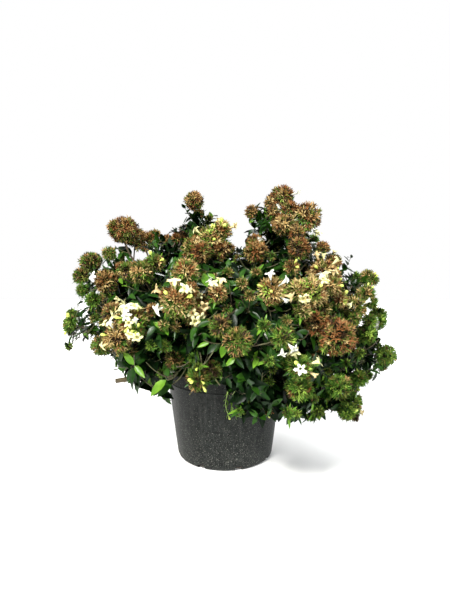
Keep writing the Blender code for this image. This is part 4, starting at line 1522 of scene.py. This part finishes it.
barks = {
    "caneBark": {
        "light": (0.26, 0.17, 0.10), "dark": (0.11, 0.065, 0.04), "patch": 60.0, "grain": 420.0,
        "rough": (0.7, 0.9), "bump": 0.5, "deep": 0.0008,
    },
    "stemBark": {
        "light": (0.085, 0.065, 0.030), "dark": (0.040, 0.028, 0.014), "patch": 50.0, "grain": 420.0,
        "rough": (0.6, 0.8), "bump": 0.5, "deep": 0.0006,
    },
    "youngBark": {
        "light": (0.075, 0.085, 0.025), "dark": (0.050, 0.032, 0.018), "patch": 30.0, "grain": 600.0,
        "rough": (0.5, 0.7), "bump": 0.3, "deep": 0.0005,
    },
    "greenShoot": {
        "light": (0.22, 0.34, 0.05), "dark": (0.12, 0.20, 0.03), "patch": 40.0, "grain": 600.0,
        "rough": (0.4, 0.6), "bump": 0.2, "deep": 0.0003,
    },
}


def foliageFinish(name):
    look = leafLook if name.startswith("leaves") else sepalLook
    if name.endswith("Flowers") or name == "flowerBuds":
        look = petalLook
    return makeFinish(name, **{**look, **finishes[name]})


def buildFoliage(sprays, heads, tree, limbTree):
    placeLeaves(sprays, heads)
    placeLargeLeaves()
    trails = placeTrailers(sprays)
    green = makeFinish("greenShoot", **barks["greenShoot"])
    tubes("trailingShoots", trails, green, limbTree, "foliage", massNodes)
    chance = random.Random(headage["seed"])
    for head in heads:
        placeCollar(head, chance)
        placeHead(head, chance)
    leaves = kindsOf("leaf", leafMesh, leafage["kinds"])
    calyces = kindsOf("calyx", calyxMesh, headage["calyxKinds"])
    stalks = kindsOf("stalk", ringsMesh, [(headage["stalk"], headage["stalkSides"])])
    flowers = kindsOf("flower", flowerMesh, flower["kinds"])
    buds = kindsOf("bud", ringsMesh, [(rings, flower["budSides"]) for rings in flower["buds"]])
    for name in finishes:
        kinds = {"calyxStalks": stalks, "flowerBuds": buds}.get(name, calyces)
        kinds = leaves if name.startswith("leaves") else kinds
        kinds = flowers if name.endswith("Flowers") else kinds
        scatter(name, kinds, foliageFinish(name), tree, "foliage", massNodes)
    clearKinds(leaves, calyces, stalks, flowers, buds)


def bareStub(sprays):
    # the old cane end that sticks out low on the left
    low = next(i for i, row in enumerate(masses) if row[0] == "bottom_left")
    line = next(spray["line"] for spray in sprays if spray["mass"] == low and spray["rank"] == 0)
    level = Vector((line[-1].x, line[-1].y, 0.0)).normalized()
    start, bend = twiggery["stubFrom"]
    inner, outer = twiggery["stubLift"]
    end = line[-1] + up * outer + level * twiggery["stubLength"]
    curve = smoothLine([line[start], line[bend] + up * inner, end], twiggery["twigPoints"])
    return curve, twiggery["stubRadius"], twiggery["stubRadius"]


def buildLimbs(canes, sprays, bark, tree):
    limbs = [(line, *growth["caneRadius"]) for line in canes]
    tubes("canes", limbs, bark, tree, "bark", caneNodes)
    ranked = ([], [], [])
    for spray in sprays:
        ranked[spray["rank"]].append((spray["line"], *spray["radii"]))
    stems, twigs, shoots = ranked
    stems.append(bareStub(sprays))
    stem, young = (makeFinish(name, **barks[name]) for name in ("stemBark", "youngBark"))
    tubes("leafyStems", stems, stem, tree, "bark", massNodes)
    tubes("twigs", twigs, young, tree, "bark", massNodes)
    tubes("shoots", shoots, young, tree, "bark", massNodes)


# Pot: turned plastic with a rim band, a lip and drain slots round its foot

pot = {
    "wall": 0.0020,
    "floor": 0.0030,
    "lipHeight": 0.0045,
    "bandHeight": 0.027,
    "bandStep": 0.0025,
    "lipStep": 0.0010,
    "bead": 0.0009,              # round the band's lower edge
    "edge": 0.0004,              # how round the outer edges are, and how high the steps
    "stepRound": 0.0003,
    "lipRound": 0.0008,
    "underBand": 0.0006,
    "innerRounds": (0.002, 0.001),
    "foot": 0.0925,
    "corner": 0.007,
    "sides": 160,
    "slots": 8,
    "firstSlot": 16.0,
    "slotSize": (0.020, 0.014, 0.016),   # out, wide, high about the ground
    "slotInward": 0.0035,
    "slotRound": 0.003,
    "slotSteps": 3,
    "sharpFrom": 32.0,
    "finish": {
        "light": (0.012, 0.0145, 0.013), "dark": (0.003, 0.004, 0.004), "patch": 170.0,
        "grain": 900.0, "rough": (0.42, 0.62), "bump": 0.35, "deep": 0.0006, "specular": 0.15,
    },
    # faint upright streaks: how fine they are, where in the noise they start and are full
    "streakScale": (130.0, 130.0, 9.0),
    "streakDetail": 3.0,
    "streakFrom": (0.50, 0.72),
    "streakShare": (0.0, 0.30),
    "streakColour": (0.050, 0.055, 0.050, 1.0),
    # dust specks: heights, and how much of the noise they need at each
    "dustGrain": 640.0,
    "dustDetail": 1.0,
    "dustHeights": (0.0, 0.15),
    "dustFrom": (0.600, 0.67),
    "dustGain": 9.0,
    "dustColour": (0.145, 0.145, 0.125, 1.0),
}


def rounded(corners, steps=5):
    # corners are (radius, height, how round); each becomes a short curve
    points = []
    for i, (r, z, size) in enumerate(corners):
        here = Vector((r, z))
        if not size:
            points.append((r, z))
            continue
        before, after = Vector(corners[i - 1][:2]), Vector(corners[i + 1][:2])
        start = here + (before - here).normalized() * size
        end = here + (after - here).normalized() * size
        for k in range(steps + 1):
            t = k / steps
            points.append(tuple(start * (1 - t) ** 2 + here * 2 * t * (1 - t) + end * t * t))
    return points


def wallRadius(z):
    top = potHigh.x - pot["bandStep"] - pot["lipStep"]
    return pot["foot"] + (top - pot["foot"]) * z / (potHigh.z - pot["bandHeight"])


def turned(name, profile, sides):
    # a closed turned solid: from the middle of its underside out, up and back to its axis
    mesh = ringsMesh(name, [(z, r) for r, z in profile], sides)
    mesh.transform(Matrix.Rotation(math.radians(-90.0), 4, "Y"))
    return mesh


def plainPiece(mesh, finish):
    mesh.materials.clear()
    mesh.materials.append(finish)
    return show(mesh.name, mesh)


def potProfile():
    top, rim = potHigh.z, potHigh.x
    bandFoot, lipFoot = top - pot["bandHeight"], top - pot["lipHeight"]
    band, inner = rim - pot["lipStep"], rim - pot["bandStep"]
    wall, bead, edge, lip = pot["wall"], pot["bead"], pot["edge"], pot["lipRound"]
    high, low = pot["innerRounds"]
    return rounded((
        (0.0, 0.0, 0),
        (wallRadius(0.0), 0.0, pot["corner"]),
        (wallRadius(bandFoot), bandFoot - pot["underBand"], edge),
        (band + bead, bandFoot, edge),
        (band + bead, bandFoot + 2 * bead, edge),
        (band, bandFoot + 2 * bead + edge, pot["stepRound"]),
        (band, lipFoot - edge, edge),
        (rim, lipFoot, edge),
        (rim, top, lip),
        (inner, top, lip),
        (inner, bandFoot + 2 * wall, high),
        (wallRadius(bandFoot) - wall, bandFoot + wall, low),
        (wallRadius(pot["floor"]) - wall, pot["floor"], pot["corner"] - wall),
        (0.0, pot["floor"], 0),
    ))


def potFinish():
    # charcoal plastic with faint upright streaks, and dust specks that are thicker near the foot
    material = makeFinish("potPlastic", **pot["finish"])
    tree = material.node_tree
    colour = tree.nodes["Principled BSDF"].inputs["Base Color"]
    place = addNode(tree, "ShaderNodeTexCoord").outputs["Object"]
    stretched = addNode(tree, "ShaderNodeMapping", {"Vector": place, "Scale": pot["streakScale"]})
    streaks = noiseAt(tree, stretched.outputs["Vector"], 1.0, pot["streakDetail"])
    share = mapRange(tree, streaks, pot["streakFrom"], pot["streakShare"])
    streaked = mixColours(tree, share, colour.links[0].from_socket, pot["streakColour"])
    height = addNode(tree, "ShaderNodeSeparateXYZ", {"Vector": place}).outputs["Z"]
    least = mapRange(tree, height, pot["dustHeights"], pot["dustFrom"])
    specks = noiseAt(tree, place, pot["dustGrain"], pot["dustDetail"])
    over = calculate(tree, "SUBTRACT", specks, least)
    dust = calculate(tree, "MULTIPLY", over, pot["dustGain"], use_clamp=True)
    feed(tree, colour, mixColours(tree, dust, streaked, pot["dustColour"]))
    return material


def addSlot(slots, bearing):
    shape = bmesh.new()
    bmesh.ops.create_cube(shape, size=1.0)
    bmesh.ops.scale(shape, vec=pot["slotSize"], verts=shape.verts)
    bmesh.ops.bevel(
        shape, geom=shape.edges[:], offset=pot["slotRound"], segments=pot["slotSteps"],
        affect="EDGES", profile=0.5
    )
    out = Matrix.Translation((wallRadius(0.0) - pot["slotInward"], 0.0, 0.0))
    place = Matrix.Rotation(math.radians(bearing), 4, "Z") @ out
    bmesh.ops.transform(shape, matrix=place, verts=shape.verts)
    slots.from_mesh(meshFrom(shape, "slot"))


def meshFrom(shape, name):
    mesh = bpy.data.meshes.new(name)
    shape.to_mesh(mesh)
    shape.free()
    return mesh


def buildPot():
    body = plainPiece(turned("nurseryPot", potProfile(), pot["sides"]), potFinish())
    slots = bmesh.new()
    for i in range(pot["slots"]):
        addSlot(slots, pot["firstSlot"] + 360.0 * i / pot["slots"])
    cutter = show("slots", meshFrom(slots, "slots"))
    cut = body.modifiers.new("slots", "BOOLEAN")
    cut.operation = "DIFFERENCE"
    cut.object = cutter
    graph = bpy.context.evaluated_depsgraph_get()
    body.data = bpy.data.meshes.new_from_object(body.evaluated_get(graph), depsgraph=graph)
    body.modifiers.clear()
    bpy.data.objects.remove(cutter)
    body.data.shade_smooth()
    body.data.set_sharp_from_angle(angle=math.radians(pot["sharpFrom"]))
    settle(body, "pot_plastic", "pot")


# Potting mix and the woody crown

ground = {
    "seed": 7,
    "rings": 26,
    "sides": 120,
    "edge": (0.156, 0.001),      # height and how round
    "footRound": 0.004,
    "topFrom": (0.985, 0.158),   # share of the edge's radius, and height, where the top starts
    "lumpsFrom": 0.157,
    "lumps": 0.0022,
    "lumpGrain": 90.0,
    "crumbs": 0.6,               # how much finer lumps count, and how fine they are
    "crumbGrain": 260.0,
    "lumpSink": 0.4,
    "soilFinish": {
        "light": (0.060, 0.040, 0.026), "dark": (0.018, 0.012, 0.008), "patch": 160.0, "grain": 700.0,
        "rough": (0.85, 1.0), "bump": 0.9, "deep": 0.002,
    },
    "chips": 900,
    "chipKinds": 4,
    "chipShape": (1.6, 0.9, 0.4),
    "chipJitter": (0.55, 1.1),
    "chipArea": (0.06, 0.90),    # the part of the soil's area that has chips
    "chipTilt": 25,
    "chipSink": 0.004,           # below the soil's top, and as much again at the edge
    "chipLift": 0.0022,
    "chipSize": (0.0025, 0.0065),
    "chipUnevenness": 0.2,
    "chipFinish": {
        "light": (0.150, 0.090, 0.050), "dark": (0.040, 0.024, 0.015), "patch": 120.0, "grain": 800.0,
        "rough": (0.8, 0.95), "bump": 0.6, "deep": 0.001,
    },
    "crownSides": 96,
    "crownRings": 40,
    "crownFoot": (0.0025, 0.005),        # further out than its ball, and how high
    "crownRelief": 0.0022,
    "reliefFrom": 0.001,
    "ridges": (5, 25),           # how fine, round the crown and up it
    "knotGrain": 75.0,
    "knots": 0.8,
    "reliefSink": 0.5,
}


def buildSoil():
    inset = pot["wall"] + 2 * growth["gap"]
    edge, foot = wallRadius(soilHigh.z) - inset, wallRadius(soilLow.z) - inset
    height, size = ground["edge"]
    share, top = ground["topFrom"]
    low = soilLow.z
    corners = ((0.0, low, 0), (foot, low, ground["footRound"]), (edge, height, size), (0.0, top, 0))
    profile = rounded(corners)[:-1]
    for i in range(1, ground["rings"] + 1):
        far = 1.0 - i / ground["rings"]
        profile.append((edge * share * far, top + (soilHigh.z - top) * (1.0 - far**2)))
    mesh = turned("pottingMix", profile, ground["sides"])
    for vert in mesh.vertices:
        if vert.co.z > ground["lumpsFrom"]:
            lump = noise.noise(vert.co * ground["lumpGrain"])
            lump += ground["crumbs"] * noise.noise(vert.co * ground["crumbGrain"])
            vert.co.z += ground["lumps"] * (lump - ground["lumpSink"])
    mesh.shade_smooth()
    finish = makeFinish("pottingMixFinish", **ground["soilFinish"])
    settle(plainPiece(mesh, finish), "potting_mix", "potting_mix")


def chipMesh(name, seed):
    chance = random.Random(seed)
    shape = bmesh.new()
    bmesh.ops.create_cube(shape, size=1.0)
    for vert in shape.verts:
        jitter = [chance.uniform(*ground["chipJitter"]) for _ in range(3)]
        vert.co = vert.co * Vector(ground["chipShape"]) * Vector(jitter)
    bmesh.ops.triangulate(shape, faces=shape.faces)
    return meshFrom(shape, name)


def buildChips(tree):
    chance = random.Random(ground["seed"])
    edge = wallRadius(soilHigh.z) - pot["wall"]
    for _ in range(ground["chips"]):
        far = math.sqrt(chance.uniform(*ground["chipArea"])) * edge
        along = anyWay(chance, ground["chipTilt"])
        sink = ground["chipSink"] * (1.0 + (far / edge) ** 2)
        at = direction(chance.uniform(0, 360), 0.0) * far + up * (soilHigh.z - sink + ground["chipLift"])
        size = chance.uniform(*ground["chipSize"])
        put("barkChips", at, along, up, size, chance.randrange(ground["chipKinds"]))
    kinds = kindsOf("chip", chipMesh, [(seed,) for seed in range(ground["chipKinds"])])
    finish = makeFinish("chipFinish", **ground["chipFinish"])
    scatter("barkChips", kinds, finish, tree, "potting_mix", ["potting_mix"], ground["chipUnevenness"])
    clearKinds(kinds)


def buildCrown(bark):
    # a burl with upright ridges, wider where it meets the soil
    low, ball, flare = crownLow.z, growth["crownBall"], crownHigh.x
    out, rise = ground["crownFoot"]
    profile = [(0.0, low), (flare, low), (ball + out, low + rise)]
    for i in range(ground["crownRings"] + 1):
        a = math.radians(90.0 * i / ground["crownRings"])
        profile.append((ball * math.cos(a), crownCentre.z + ball * math.sin(a)))
    profile[-1] = (0.0, crownCentre.z + ball)
    mesh = turned("woodyCrown", profile, ground["crownSides"])
    fine, tall = ground["ridges"]
    for vert in mesh.vertices:
        if vert.co.z > low + ground["reliefFrom"]:
            around = math.atan2(vert.co.y, vert.co.x)
            place = (math.cos(around) * fine, math.sin(around) * fine, vert.co.z * tall)
            ridge = noise.noise(Vector(place))
            knot = ground["knots"] * noise.noise(vert.co * ground["knotGrain"])
            away = (vert.co - crownCentre).normalized()
            vert.co += away * ground["crownRelief"] * (ridge + knot - ground["reliefSink"])
    mesh.shade_smooth()
    settle(plainPiece(mesh, bark), "bark", "woody_crown")


buildStudio()
buildPot()
canes, sprays, heads = growPlant()
bark = makeFinish("caneBark", **barks["caneBark"])
setTree = scatterTree()
buildSoil()
buildChips(setTree)
buildCrown(bark)
limbTree = tubeTree()
buildLimbs(canes, sprays, bark, limbTree)
buildFoliage(sprays, heads, setTree, limbTree)
